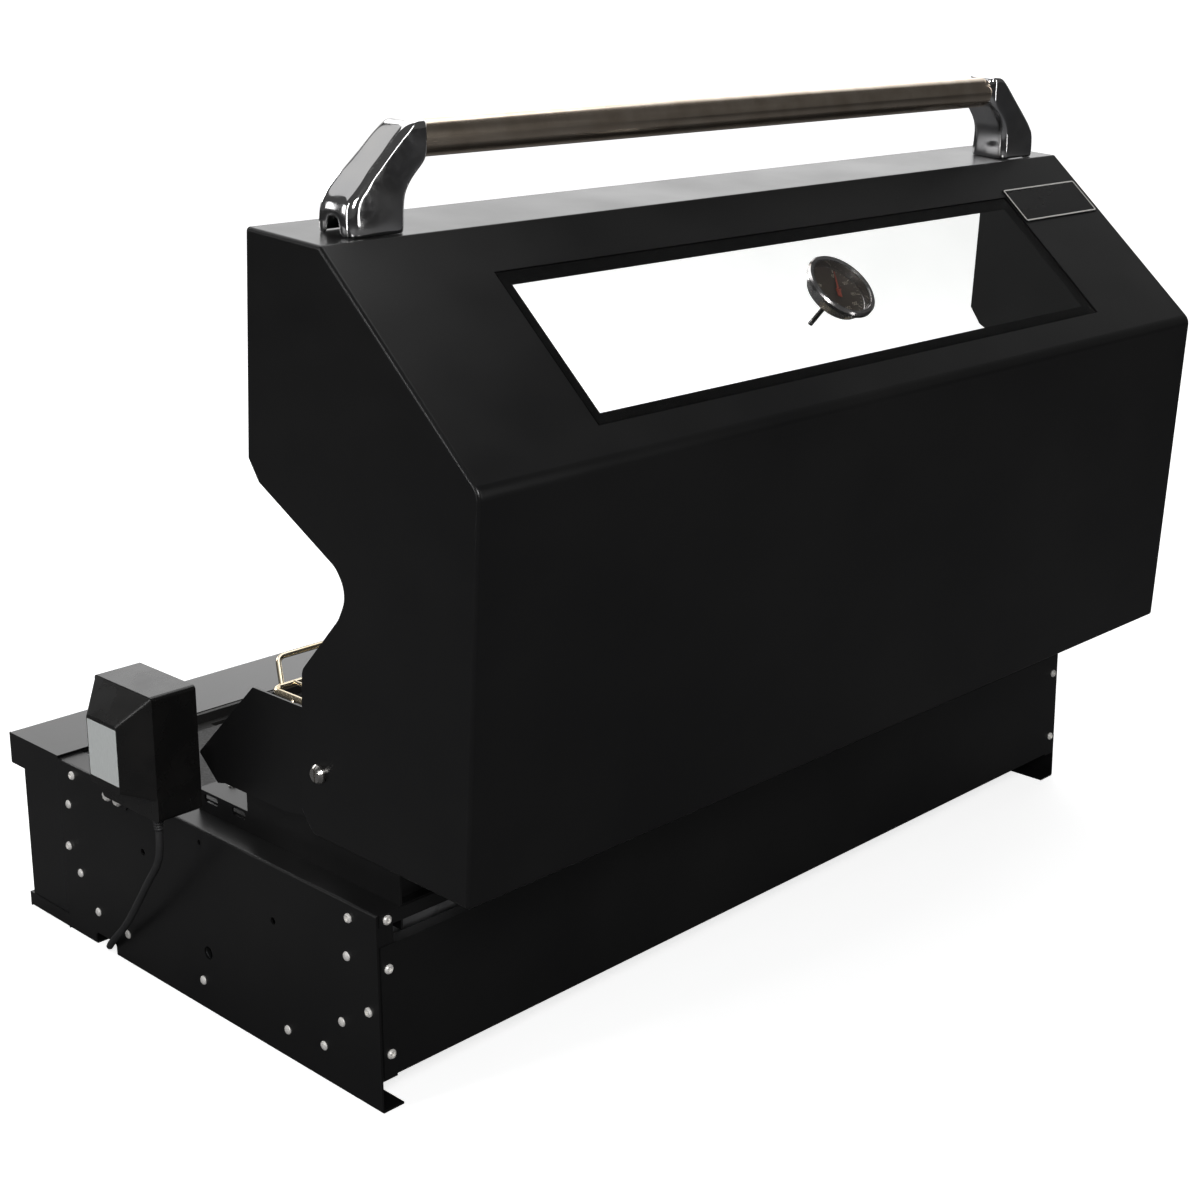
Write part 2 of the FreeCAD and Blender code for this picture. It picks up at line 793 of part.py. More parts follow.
def warming_rack():
    """The welded wire rack on four splayed legs, with a raised rail along its front."""
    half = rack_half_length
    wires = [bent_rod([(-half, rack_back, rack_z), (-half, rack_front, rack_z), (half, rack_front, rack_z),
                       (half, rack_back, rack_z)], rack_wire_radius, rack_corner_bend)]
    back_end = half + rack_wire_radius + 2.0
    back_y = rack_back - rack_wire_radius
    wires.append(rod((-back_end, back_y, rack_z), (back_end, back_y, rack_z), rack_leg_radius))
    count = int(2 * half // rack_rod_spacing)
    rod_z = rack_z + rack_wire_radius - rack_rod_radius
    for k in range(1, count):
        x = -half + k * 2 * half / count
        wires.append(rod((x, rack_front, rod_z), (x, back_y, rod_z), rack_rod_radius))
    rail_y, rail_z = rack_front - rack_rail_reach, rack_z + rack_rail_rise
    foot, end = rack_rail_foot_half, rack_rail_half_length
    wires.append(bent_rod([(-foot, rack_front, rack_z), (-end, rail_y, rail_z), (end, rail_y, rail_z),
                           (foot, rack_front, rack_z)], rack_rail_radius, rack_rail_bend))
    for side in (-1, 1):
        for y in (rack_leg_front, rack_leg_back):
            foot = (side * rack_foot_x, y, strip_top + rack_foot_height / 2)
            wires.append(rod((side * half, y, rack_z), foot, rack_leg_radius))
            wires.append(rod((side * rack_foot_x, y, strip_top),
                             (side * rack_foot_x, y, strip_top + rack_foot_height), rack_foot_radius))
    return joined(wires)


def hood_outline(inset):
    """The closed hood seen from its right end, from the front lower corner up and round.

    With an inset it is the hollow inside: drawn in by the sheet where the wrap is, and
    carried on below the open edges.
    """
    s = inset
    if inset == 0:
        return [(hood_front_y, hood_base_z), (hood_front_y, fold_z, fold_radius),
                (slope_top_y, slope_top_z, top_fold_radius), (hood_top_y, slope_top_z, fold_radius),
                (back_bottom_y, back_corner_z - 8, lip_radius), (back_bottom_y - 16, rear_edge_z),
                (notch_rear_y, rear_edge_z, 14), notch_rear_top + (notch_rear_round,),
                notch_apex + (notch_apex_round,), notch_front_top + (notch_front_round,),
                (notch_front_y + 14, 212.0, 4), (notch_front_y - 4, hood_base_z)]
    half = math.radians(slope_angle)
    low_shift = s * math.tan((math.pi / 2 - half) / 2)
    top_shift = s * math.tan(half / 2)
    front = hood_front_y + s
    return [(front, hood_base_z - 60), (front, fold_z + low_shift, fold_radius),
            (slope_top_y + top_shift, slope_top_z - s, top_fold_radius - s),
            (hood_top_y - s, slope_top_z - s, fold_radius),
            (back_bottom_y - s, back_corner_z - 8, lip_radius - s), (back_bottom_y - 16, rear_edge_z + s),
            (back_bottom_y - 17, rear_edge_z - 80)]


def hood_shell():
    """The hood: two side panels and the folded wrap between them, drawn closed."""
    outside = prism_x(hood_outline(0), -hood_half, hood_half)

    def on_wrap(edge):
        """Edges where the wrap meets a side panel."""
        m = middle_of(edge)
        if abs(abs(m.x) - hood_half) > 0.01:
            return False
        wrap = (m.y < hood_front_y + 0.5 or m.z > fold_z + 6 and m.y < slope_top_y + 30
                or m.z > slope_top_z - 1 or m.y > hood_top_y - 2 and m.z > back_corner_z - 6)
        return wrap

    outside = round_edges(outside, side_fold_radius, on_wrap)
    inner_half = hood_half - hood_sheet
    inside = prism_x(hood_outline(hood_sheet), -inner_half, inner_half)
    shell = outside.cut(inside)
    reach = window_border
    opening = on_slope(box(-window_half_length - reach, window_half_length + reach,
                           window_low - reach, window_high + reach, -10, 10))
    hinge_hole = rod((-hood_half - 5, hinge_y, hinge_z), (hood_half + 5, hinge_y, hinge_z),
                     hinge_bolt_radius + hinge_fit)
    return shell.cut([opening, hinge_hole])


def window_frame():
    """The dished frame behind the opening, with the seat that the glass lies in."""
    reach = window_border
    x, low, high = window_half_length, window_low, window_high
    rim = reach + frame_rim
    back = -hood_sheet
    depth = glass_recess + glass_thickness + frame_sheet
    flange = box(-x - rim, x + rim, low - rim, high + rim, back - frame_sheet, back)
    dish = box(-x - reach + glass_play, x + reach - glass_play, low - reach + glass_play,
               high + reach - glass_play, -depth, back)
    pocket_wall = frame_wall + glass_play
    pocket = box(-x - reach + pocket_wall, x + reach - pocket_wall, low - reach + pocket_wall,
                 high + reach - pocket_wall, -depth + frame_sheet, 5)
    opening = box(-x, x, low, high, -depth - 5, 5)
    return on_slope(joined([flange, dish]).cut([pocket, opening]))


def window_glass():
    """The toughened glass with a hole for the thermometer."""
    inset = window_border - frame_wall - 2 * glass_play
    x, low, high = window_half_length + inset, window_low - inset, window_high + inset
    outer = -glass_recess
    pane = prism_z([(-x, low, 2), (x, low, 2), (x, high, 2), (-x, high, 2)], outer - glass_thickness, outer)
    hole = rod((0, gauge_height_on_slope, -20), (0, gauge_height_on_slope, 20), gauge_neck_radius + 0.5)
    return on_slope(pane.cut(hole))


def gauge_point(height):
    """A point on the thermometer's axis, at a height above the glass."""
    return (0, gauge_height_on_slope, -glass_recess + height)


def thermometer_case():
    """The case with its bezel, dial floor and pivot, the neck and stem, and the nut behind."""
    floor = gauge_depth - gauge_bezel_height - gauge_dial_drop
    t = gauge_wall
    rim_inner = gauge_radius - gauge_bezel_width
    case = turned([(0, 0), (gauge_base_radius, 0), (gauge_radius - 2, gauge_depth - gauge_bezel_height),
                   (gauge_radius, gauge_depth - gauge_bezel_height + 1), (gauge_radius, gauge_depth - 1.5),
                   (gauge_radius - 1.5, gauge_depth), (rim_inner, gauge_depth),
                   (rim_inner - 1.5, gauge_depth - gauge_lens_thickness - 1.0),
                   (rim_inner - 1.5, floor), (0, floor)],
                  gauge_point(0), (0, 0, 1))
    seat = rod(gauge_point(gauge_depth - gauge_lens_thickness - 1.0), gauge_point(gauge_depth - 1.0),
               rim_inner + 0.5)
    core, base = gauge_neck_radius + 7, gauge_base_radius
    cavity = turned([(core, t), (base - t, t), (base + 1, floor - t), (core, floor - t)],
                    gauge_point(0), (0, 0, 1))
    neck = rod(gauge_point(-glass_thickness - gauge_nut_height - 2), gauge_point(1), gauge_neck_radius)
    stem = rod(gauge_point(-gauge_stem_length), gauge_point(0), gauge_stem_radius)
    pivot = rod(gauge_point(floor), gauge_point(gauge_depth - gauge_lens_thickness - 1.5), pivot_radius)
    body = joined([case.cut([cavity, seat]), neck, stem, pivot])
    nut_base = gauge_point(-glass_thickness - gauge_nut_height)
    nut = hexagon(gauge_nut_radius, nut_base, (0, 0, 1), gauge_nut_height)
    nut = nut.cut(rod(gauge_point(-glass_thickness - 20), gauge_point(0), gauge_neck_radius + hole_clearance))
    return on_slope(Part.makeCompound([body, nut]))


def thermometer_needle():
    """The balanced needle that turns on the pivot in front of the dial."""
    floor = gauge_depth - gauge_bezel_height - gauge_dial_drop
    level = floor + 2.0
    centre = gauge_point(level)
    hub = rod(centre, gauge_point(level + 2.0), needle_hub_radius)
    z = centre[2] + 0.5
    y = gauge_height_on_slope
    half, tip = needle_width / 2, needle_tip_width / 2
    blade = prism_z([(-half, y), (half, y), (tip, y + needle_length), (-tip, y + needle_length)],
                    z, z + needle_thickness)
    tail_width = needle_width * 2.1
    tail = prism_z([(-tail_width / 2, y - needle_tail), (tail_width / 2, y - needle_tail),
                    (tail_width / 2, y), (-tail_width / 2, y)], z, z + needle_thickness)
    bore = rod(gauge_point(level - 5), gauge_point(level + 5), pivot_radius + pivot_fit)
    needle = joined([hub, blade, tail]).cut(bore)
    needle.rotate(Vector(*gauge_point(0)), Vector(0, 0, 1), needle_start_angle)
    return on_slope(needle)


def thermometer_lens():
    """The flat glass over the dial."""
    top = gauge_depth - 1.0
    return on_slope(rod(gauge_point(top - gauge_lens_thickness), gauge_point(top),
                        gauge_radius - gauge_bezel_width + 0.4))


def handle_tube():
    """The polished tube between the two brackets."""
    y, z = handle_height_on_face, handle_stand_off
    tube = rod((-handle_tube_half_length, y, z), (handle_tube_half_length, y, z), handle_tube_radius)
    bore = rod((-handle_tube_half_length - 1, y, z), (handle_tube_half_length + 1, y, z),
               handle_tube_radius - handle_tube_wall)
    return on_front_face(tube.cut(bore))


def handle_bracket():
    """The right cast bracket: a hollow leg that leans in to the tube, open at its foot."""
    y = handle_height_on_face
    top = handle_stand_off + handle_tube_radius + bracket_cover
    bottom_of_tube = handle_stand_off - handle_tube_radius - 1.0
    half = bracket_width / 2
    profile = [(bracket_inner_x, 0), (bracket_outer_x, 0), (bracket_outer_x, bracket_shoulder, 10),
               (bracket_top_outer_x, top, 10), (bracket_top_inner_x, top, 2),
               (bracket_top_inner_x, bottom_of_tube, 2), (bracket_inner_x, bottom_of_tube - 26, 30)]
    leg = prism_y(profile, -half, half)
    waist = prism_x([(-half, -1), (-half + 1, -1), (-half + 5, top), (-half, top + 1)], 0, hood_half)
    leg = leg.cut([waist, waist.mirror(Vector(0, 0, 0), Vector(0, 1, 0))])

    def long_outer(edge):
        """The long edges along the outer face and the top."""
        m = middle_of(edge)
        return abs(m.y) > half - 8 and m.z > 2 and (m.x > bracket_outer_x - 90 and m.z > bracket_shoulder
                                                   or m.x > bracket_outer_x - 1) and m.x > bracket_inner_x + 4

    leg = round_edges(leg, bracket_round * 0.6, long_outer)
    w = bracket_wall
    hollow = prism_y([(bracket_inner_x + w, -1), (bracket_outer_x - w, -1),
                      (bracket_outer_x - w, bracket_shoulder - 2, 6),
                      (bracket_outer_x - bracket_foot_length / 2, bracket_hollow_height, 4),
                      (bracket_inner_x + w, bracket_hollow_height, 4)], -half + 8, half - 8)
    notch_half = bracket_notch_width / 2
    notch = box(bracket_outer_x - 2 * w, bracket_outer_x + 1, -notch_half, notch_half,
                -1, bracket_notch_height)
    slab = bracket_slab
    flank_top = handle_stand_off - 10
    flank = [(bracket_inner_x - 40, -1), (bracket_outer_x - slab, -1),
             (bracket_outer_x - slab, bracket_shoulder - 3, 10),
             (bracket_top_outer_x + 14, flank_top), (bracket_inner_x - 40, flank_top)]
    depth = bracket_flank_depth
    flanks = [prism_y(flank, -half - 5, -half + depth + 1.5), prism_y(flank, half - depth - 1.5, half + 5)]
    leg = leg.cut([hollow, notch] + flanks)
    leg.translate(Vector(0, y, 0))
    z = handle_stand_off
    socket = rod((bracket_top_inner_x - 5, y, z), (handle_tube_half_length, y, z), handle_tube_radius)
    return on_front_face(leg.cut(socket))


def hinge_bolts():
    """The two shoulder bolts the hood turns on, each with its collar and nut."""
    solids = []
    outer = hood_half + running_gap
    inner = hood_half - hood_sheet - running_gap
    for side in (-1, 1):
        def at(x):
            """A point on the hinge axis."""
            return (side * x, hinge_y, hinge_z)

        shank = rod(at(ear_plane - wall_sheet - hinge_nut_height - 2), at(outer + 1), hinge_bolt_radius)
        collar = rod(at(ear_plane), at(inner), hinge_collar_radius)
        head = turned([(0, 0), (hinge_head_radius, 0), (hinge_head_radius, 0.45 * hinge_head_height),
                       (0.75 * hinge_head_radius, hinge_head_height), (0, hinge_head_height)],
                      at(outer), (side, 0, 0))
        slot = box(outer + hinge_head_height - 1.6, outer + hinge_head_height + 2, hinge_y - 1, hinge_y + 1,
                   hinge_z - 20, hinge_z + 20)
        if side < 0:
            slot = mirrored(slot)
        bolt = joined([shank, collar, head.cut(slot)])
        nut_face = at(ear_plane - wall_sheet - hinge_nut_height)
        nut = hexagon(hinge_collar_radius, nut_face, (side, 0, 0), hinge_nut_height)
        nut = nut.cut(rod(at(ear_plane - 40), at(ear_plane + 40), hinge_bolt_radius + hole_clearance))
        solids += [bolt, nut]
    return Part.makeCompound(solids)


def control_panel():
    """The folded front: shelf, lip and fascia in one sheet, with the knob holes and tray opening."""
    half = half_length - panel_sheet
    t = panel_sheet
    pieces = [box(-half, half, panel_front, panel_back, shelf_top - t, shelf_top),
              box(-half, half, panel_front, panel_front + t, lip_bottom, shelf_top),
              box(-half, half, panel_front, fascia_y + t, lip_bottom, lip_bottom + t),
              box(-half, half, fascia_y, fascia_y + t, rail_height, lip_bottom + t),
              box(-half, half, fascia_y, fascia_y + 20, rail_height, rail_height + t),
              box(-half, half, panel_back - t, panel_back, shelf_top - 12, shelf_top)]
    panel = joined(pieces)
    panel = round_edges(panel, 1.2 * t, lambda e: runs_along(e, (1, 0, 0)) and e.Length > body_length - 20
                        and middle_of(e).y < panel_front + 0.1)
    cuts = [rod((x, fascia_y - 5, gas_axis_z), (x, fascia_y + 5, gas_axis_z), stem_radius + 2.0)
            for x in burner_places()]
    margin = 4.0
    cuts.append(box(-tray_half_width - margin, tray_half_width + margin, fascia_y - 5, fascia_y + 5,
                    tray_bottom - margin, tray_bottom + tray_side + margin))
    return panel.cut(cuts)


def panel_end_caps():
    """The two caps that close the ends of the control panel and bolt to the side plates."""
    t = panel_sheet
    upper = prism_x([(panel_front, lip_bottom), (panel_back, lip_bottom), (panel_back, shelf_top),
                     (panel_front, shelf_top)], half_length - t, half_length)
    lower = prism_x([(fascia_y, rail_height), (panel_back, rail_height), (panel_back, lip_bottom + 1),
                     (fascia_y, lip_bottom + 1)], half_length - t, half_length - cap_step)
    flange = box(half_length - edge_flange, half_length - t, panel_back - t, panel_back,
                 rail_height, shelf_top - 12)
    right = joined([upper, lower, flange])
    left = mirrored(right)
    hole = rod((-half_length - 5, manifold_y, manifold_z()), (-half_length + 5, manifold_y, manifold_z()),
               manifold_radius + running_gap)
    return Part.makeCompound([right, left.cut(hole)])


def front_rail():
    """The inverted channel across the front that the panel stands on."""
    t = panel_sheet
    y0 = fascia_y - rail_overhang
    top = box(-half_length, half_length, y0, panel_back, rail_height - t, rail_height)
    front = box(-half_length, half_length, y0, y0 + t, 0, rail_height)
    back = box(-half_length, half_length, panel_back - t, panel_back, 0, rail_height)
    ends = [box(side * half_length, side * (half_length - t), y0, panel_back, t, rail_height)
            for side in (-1, 1)]
    return joined([top, front, back] + ends)


def manifold_z():
    """The height of the gas pipe, which the valves stand on."""
    return gas_axis_z - valve_height / 2 - manifold_radius


def gas_manifold():
    """The gas pipe with a plug at its right end and a seat for each valve."""
    z = manifold_z()
    end = half_length - 30
    start = -half_length - 6
    pipe = rod((start, manifold_y, z), (end, manifold_y, z), manifold_radius)
    bore = rod((start - 1, manifold_y, z), (end - 6, manifold_y, z), manifold_radius - manifold_wall)
    seat_top = z + manifold_radius + 5
    seats = [rod((x, manifold_y, z), (x, manifold_y, seat_top), inlet_bore_radius + hole_clearance)
             for x in burner_places()]
    strap = [box(side * (half_length - 60), side * (half_length - 40), fascia_y + panel_sheet, manifold_y,
                 z - 1.5, z + 1.5) for side in (-1, 1)]
    return joined([pipe] + strap).cut([bore] + seats)


def gas_inlet():
    """The threaded inlet union at the left end of the pipe."""
    z = manifold_z()
    start = -half_length - 6
    collar = hexagon(inlet_nut_radius, (start, manifold_y, z), (-1, 0, 0), inlet_nut_length)
    spigot = rod((start, manifold_y, z), (start + 10, manifold_y, z),
                 manifold_radius - manifold_wall - hole_clearance)
    end = start - inlet_nut_length - inlet_thread_length
    thread = rod((start - inlet_nut_length, manifold_y, z), (end, manifold_y, z), inlet_thread_radius)
    bore = rod((end - 1, manifold_y, z), (start + 12, manifold_y, z), inlet_bore_radius)
    return joined([collar, spigot, thread]).cut(bore)


def gas_valves():
    """One tap on the pipe for each burner, with its jet towards the mixing tube."""
    solids = []
    y0 = manifold_y - valve_depth / 2
    y1 = manifold_y + valve_depth / 2
    z = gas_axis_z
    for x in burner_places():
        half, tall = valve_width / 2, valve_height / 2
        body = prism_y([(x - half, z - tall, 3), (x + half, z - tall, 3), (x + half, z + tall, 6),
                        (x - half, z + tall, 6)], y0, y1)
        foot = rod((x, manifold_y, z - tall - manifold_wall), (x, manifold_y, z), inlet_bore_radius)
        jet = rod((x, y1 - 2, z), (x, venturi_mouth + 5, z), nozzle_radius)
        bore = rod((x, y0 - 1, z), (x, y0 + stem_depth_in_valve + stem_travel + 1, z), stem_radius + stem_fit)
        solids.append(joined([body, foot, jet]).cut(bore))
    return Part.makeCompound(solids)


def valve_stem(x):
    """The stem that the knob is pushed on to; pressing it in unlocks the tap."""
    y0 = manifold_y - valve_depth / 2 + stem_depth_in_valve
    end = fascia_y - knob_gap - knob_bore_depth + 2
    return rod((x, y0, gas_axis_z), (x, end, gas_axis_z), stem_radius)


def knob(x):
    """A control knob with a raised grip bar."""
    back = fascia_y - knob_gap
    z = gas_axis_z
    body = turned([(0, 0), (knob_radius, 0), (knob_radius, 4), (knob_radius - 2.5, 6),
                   (knob_radius - 4, 15), (knob_radius - 6, 17), (0, 17)], (x, back, z), (0, -1, 0))
    grip_half = knob_grip_width / 2
    reach = knob_radius - 4.5
    grip = prism_y([(x - grip_half, z - reach, 4), (x + grip_half, z - reach, 4),
                    (x + grip_half * 0.8, z + reach, 3), (x - grip_half * 0.8, z + reach, 3)],
                   back - knob_depth, back - 15)
    front = back - knob_depth
    grip = round_edges(grip, 2.0, lambda e: abs(middle_of(e).y - front) < 0.01)
    bore = rod((x, back + 1, z), (x, back - knob_bore_depth, z), stem_radius + knob_fit)
    core = knob_radius / 2
    hollow = turned([(core, -1), (knob_radius - 3, -1), (knob_radius - 5, 12), (core, 12)], (x, back, z),
                    (0, -1, 0))
    return joined([body, grip]).cut([bore, hollow])


def drip_tray():
    """The drip tray: a shallow pan on two runners, with its front and finger grip."""
    t = tray_sheet
    front = fascia_y - tray_gap
    pan = box(-tray_half_width, tray_half_width, front, tray_back, tray_bottom, tray_bottom + tray_side)
    hollow = box(-tray_half_width + t, tray_half_width - t, front + t, tray_back - t,
                 tray_bottom + t, tray_bottom + tray_side + 1)
    face = box(-tray_front_half_length, tray_front_half_length, front - panel_sheet, front,
               tray_front_bottom, tray_front_top)
    root, tip = front - 1, front - tray_grip_reach
    grip_top = tray_front_top - tray_grip_height
    grip_under = grip_top - tray_grip_sheet
    grip_lip = grip_top - tray_grip_lip
    inside = tip + tray_grip_sheet
    grip = prism_x([(root, grip_top), (tip, grip_top, 2), (tip, grip_lip, 2), (inside, grip_lip),
                    (inside, grip_under), (root, grip_under)],
                   -tray_grip_half_length, tray_grip_half_length)
    return joined([pan.cut(hollow), face, grip])


def tray_runners():
    """The two folded runners on the side plates that carry the tray."""
    t = runner_sheet
    inner = tray_half_width - runner_overlap
    y0, y1 = -plate_depth + plate_sheet + 2, -plate_sheet - back_return
    web = box(inner, plate_inner_x, y0, y1, tray_bottom - t, tray_bottom)
    side = box(plate_inner_x - t, plate_inner_x, y0, y1, tray_bottom - t, tray_bottom + runner_rise)
    x0, x1 = plate_inner_x - 5, plate_inner_x + 5
    y, z = service_hole_place
    right = joined([web, side]).cut(rod((x0, y, z), (x1, y, z), service_hole_radius + 2))
    for y, z in rivet_places:
        if z < tray_bottom + runner_rise + 5:
            right = right.cut(rod((x0, y, z), (x1, y, z), rivet_shank_radius + 0.3))
    return Part.makeCompound([right, mirrored(right)])


def screws():
    """All the button-head screws of the side plates, the back and the hinge walls' ledges."""
    solids = []
    for side in (-1, 1):
        for y, z in plate_screw_places:
            solids.append(screw_at((side * half_length, y, z), (side, 0, 0)))
        x = side * (half_length - back_screw_inset)
        for z in back_screw_heights + (rail_screw_height,):
            solids.append(screw_at((x, back_sheet, z), (0, 1, 0)))
        x = side * (half_length - ledge_screw_inset)
        solids.append(screw_at((x, ledge_screw_y, strip_top), (0, 0, 1)))
    return Part.makeCompound(solids)


def rivets():
    """The dome rivets along each side plate."""
    return Part.makeCompound([rivet_at((side * half_length, y, z), (side, 0, 0))
                              for side in (-1, 1) for y, z in rivet_places])


def motor_housing():
    """The moulded motor housing: a box with a tapered boss on its outer side, hollow inside."""
    x0, x1 = motor_inner_x, motor_inner_x + motor_width
    body = box(x0, x1, motor_front, motor_back, motor_bottom, motor_top)
    body = round_edges(body, motor_round, lambda e: runs_along(e, (1, 0, 0)))

    def layer(x, inset, top, bottom):
        """One section of the tapered boss."""
        return rounded_wire_at(x, motor_front + inset, motor_back - inset, bottom, top)

    base = layer(x1 - 0.5, 0.2, motor_top - 0.2, boss_bottom - boss_foot)
    tip = layer(x1 + boss_reach, boss_inset, motor_top - boss_drop, boss_bottom)
    boss = Part.makeLoft([base, tip], True, True)
    outside = joined([body, boss])
    w = motor_wall
    inside = box(x0 + w, x1 - w, motor_front + w, motor_back - w, motor_bottom + w, motor_top - w)
    boss_inside = Part.makeLoft([layer(x1 - w - 0.5, w, motor_top - w, boss_bottom - boss_foot + w),
                                 layer(x1 + boss_reach - w, boss_inset + w, motor_top - boss_drop - w,
                                       boss_bottom + w)], True, True)
    shell = outside.cut([inside, boss_inside])
    collar = rod((x0 + w - 1, spit_y, spit_z), (x0 + socket_length, spit_y, spit_z), socket_radius + 4)
    shell = joined([shell, collar])
    bore = rod((x0 - 1, spit_y, spit_z), (x0 + socket_length + 1, spit_y, spit_z), socket_radius + stem_fit)
    x, y = cord_exit
    gland_hole = rod((x, y, motor_bottom - 1), (x, y, motor_bottom + w + 1), gland_radius - 1.0)
    z = motor_bottom + switch_height_above_base
    x = x0 + motor_width / 2
    wide = switch_width / 2 + running_gap
    tall = switch_length / 2 + switch_play
    switch_hole = box(x - wide, x + wide, motor_front - 1, motor_front + w + 1, z - tall, z + tall)
    return shell.cut([bore, gland_hole, switch_hole])


def rounded_wire_at(x, y0, y1, z0, z1):
    """A rectangle with small round corners in a plane of constant X."""
    wire = rounded_wire([(y0, z0, 4), (y1, z0, 4), (y1, z1, 4), (y0, z1, 4)])
    wire.Placement = FreeCAD.Placement(Vector(x, 0, 0), FreeCAD.Rotation(Vector(0, 1, 0), Vector(0, 0, 1),
                                                                         Vector(1, 0, 0), "XYZ"))
    return wire


def motor_bracket():
    """The bracket between the side plate and the motor, with its two spacer studs."""
    t = motor_bracket_sheet
    x0 = motor_inner_x - t
    outline = [(bracket_tab_front, bracket_tab_bottom, 9), (bracket_tab_back, bracket_tab_bottom, 9),
               (bracket_tab_back, motor_bottom - 14), (spit_y + 2, motor_bottom + 4),
               (motor_back - 4, motor_bottom + 4),
               (motor_back - 4, motor_top - 10), (motor_front + 6, motor_top - 10),
               (motor_front + 6, bracket_tab_top + 10), (bracket_tab_front, bracket_tab_top, 9)]
    plate = prism_x(outline, x0, motor_inner_x)
    spacers = [rod((half_length, y, z), (x0 + 0.5, y, z), bracket_bolt_radius + 3)
               for y, z in bracket_bolt_places]
    cuts = [rod((half_length - 5, y, z), (motor_inner_x + 5, y, z), bracket_bolt_radius + hole_clearance)
            for y, z in bracket_bolt_places]
    cuts.append(rod((x0 - 5, spit_y, spit_z), (motor_inner_x + 5, spit_y, spit_z), socket_radius + 1))
    return joined([plate] + spacers).cut(cuts)


def bracket_bolts():
    """The two bolts of the motor bracket, each with a nut inside the side plate."""
    solids = []
    for y, z in bracket_bolt_places:
        radius, height = bracket_bolt_head_radius, bracket_bolt_head_height
        head = turned([(0, 0), (radius, 0), (radius, 0.5 * height), (0.7 * radius, height), (0, height)],
                      (motor_inner_x, y, z), (1, 0, 0))
        shank = rod((plate_inner_x - 8, y, z), (motor_inner_x + 1, y, z), bracket_bolt_radius)
        nut = hexagon(bracket_nut_radius, (plate_inner_x, y, z), (-1, 0, 0), bracket_nut_height)
        nut = nut.cut(rod((plate_inner_x - 20, y, z), (plate_inner_x + 20, y, z),
                          bracket_bolt_radius + hole_clearance))
        solids += [joined([head, shank]), nut]
    return Part.makeCompound(solids)


def spit_socket():
    """The driven socket with the square hole that takes the spit."""
    x0 = motor_inner_x - 0.5
    length = socket_length + 0.5
    barrel = rod((x0, spit_y, spit_z), (x0 + length + 0.3, spit_y, spit_z), socket_radius)
    flange = rod((x0 + length + 0.3, spit_y, spit_z), (x0 + length + 0.3 + socket_flange, spit_y, spit_z),
                 socket_flange_radius)
    half = socket_square / 2
    hole = box(x0 - 1, x0 + length - 1, spit_y - half, spit_y + half, spit_z - half, spit_z + half)
    return joined([barrel, flange]).cut(hole)


def motor_switch():
    """The rocker switch in the motor's front face, tipped to its off position."""
    x = motor_inner_x + motor_width / 2
    z = motor_bottom + switch_height_above_base
    y = motor_front + motor_wall / 2
    half = switch_length / 2
    rocker = prism_x([(y - switch_stand_out, z - half, 0.8), (y - switch_dip, z, 20),
                      (y - switch_stand_out, z + half, 0.8),
                      (y + motor_wall, z + half * 0.6), (y + motor_wall, z - half * 0.6)],
                     x - switch_width / 2, x + switch_width / 2)
    return rocker.rotate(Vector(x, y, z), Vector(1, 0, 0), -switch_travel / 2)


def cable_gland():
    """The tapered strain relief under the motor."""
    x, y = cord_exit
    z = motor_bottom
    groove = gland_radius - 1.0 - hole_clearance
    tip = gland_seat - gland_length
    return turned([(0, tip), (gland_tip_radius, tip), (gland_radius, -2.0), (gland_radius, 0), (groove, 0),
                   (groove, motor_wall), (gland_radius, motor_wall), (gland_radius, motor_wall + 2),
                   (0, motor_wall + 2)], (x, y, z), (0, 0, 1))


def cord_points():
    """The cord's route from the gland to the start of the coil, chosen by hand."""
    x, y = cord_exit
    start = coil_start()
    return [(x, y, motor_bottom - gland_length + gland_seat), (x, y, 176.0), (558.0, -271.0, 157.0),
            (553.5, -294.0, 134.0), (546.5, -330.0, 93.5), (537.5, -370.0, 53.0), (531.5, -405.5, 24.0),
            (525.0, -423.0, 9.0), (510.0, -441.0, 4.1), (488.0, -449.5, 4.1), (443.0, start[1], 4.1), start]


def coil_start():
    """Where the cord enters the coil, at its outermost lower turn."""
    cx, cy = coil_middle
    return (cx, cy - coil_outer_radius(), coil_low())


def coil_pitch():
    """The room that one turn takes."""
    return cord_diameter + cord_clearance


def coil_outer_radius():
    """The radius of the coil's outermost turn."""
    return coil_inner_radius + coil_turns_per_layer * coil_pitch()


def coil_low():
    """The height of the coil's lower layer."""
    return cord_radius + 0.6


def arc_points(centre, radius, start_angle, turn, z):
    """Start, middle and end of an arc about a vertical axis."""
    return [Vector(centre[0] + radius * math.cos(math.radians(start_angle + f * turn)),
                   centre[1] + radius * math.sin(math.radians(start_angle + f * turn)), z)
            for f in (0.0, 0.5, 1.0)]


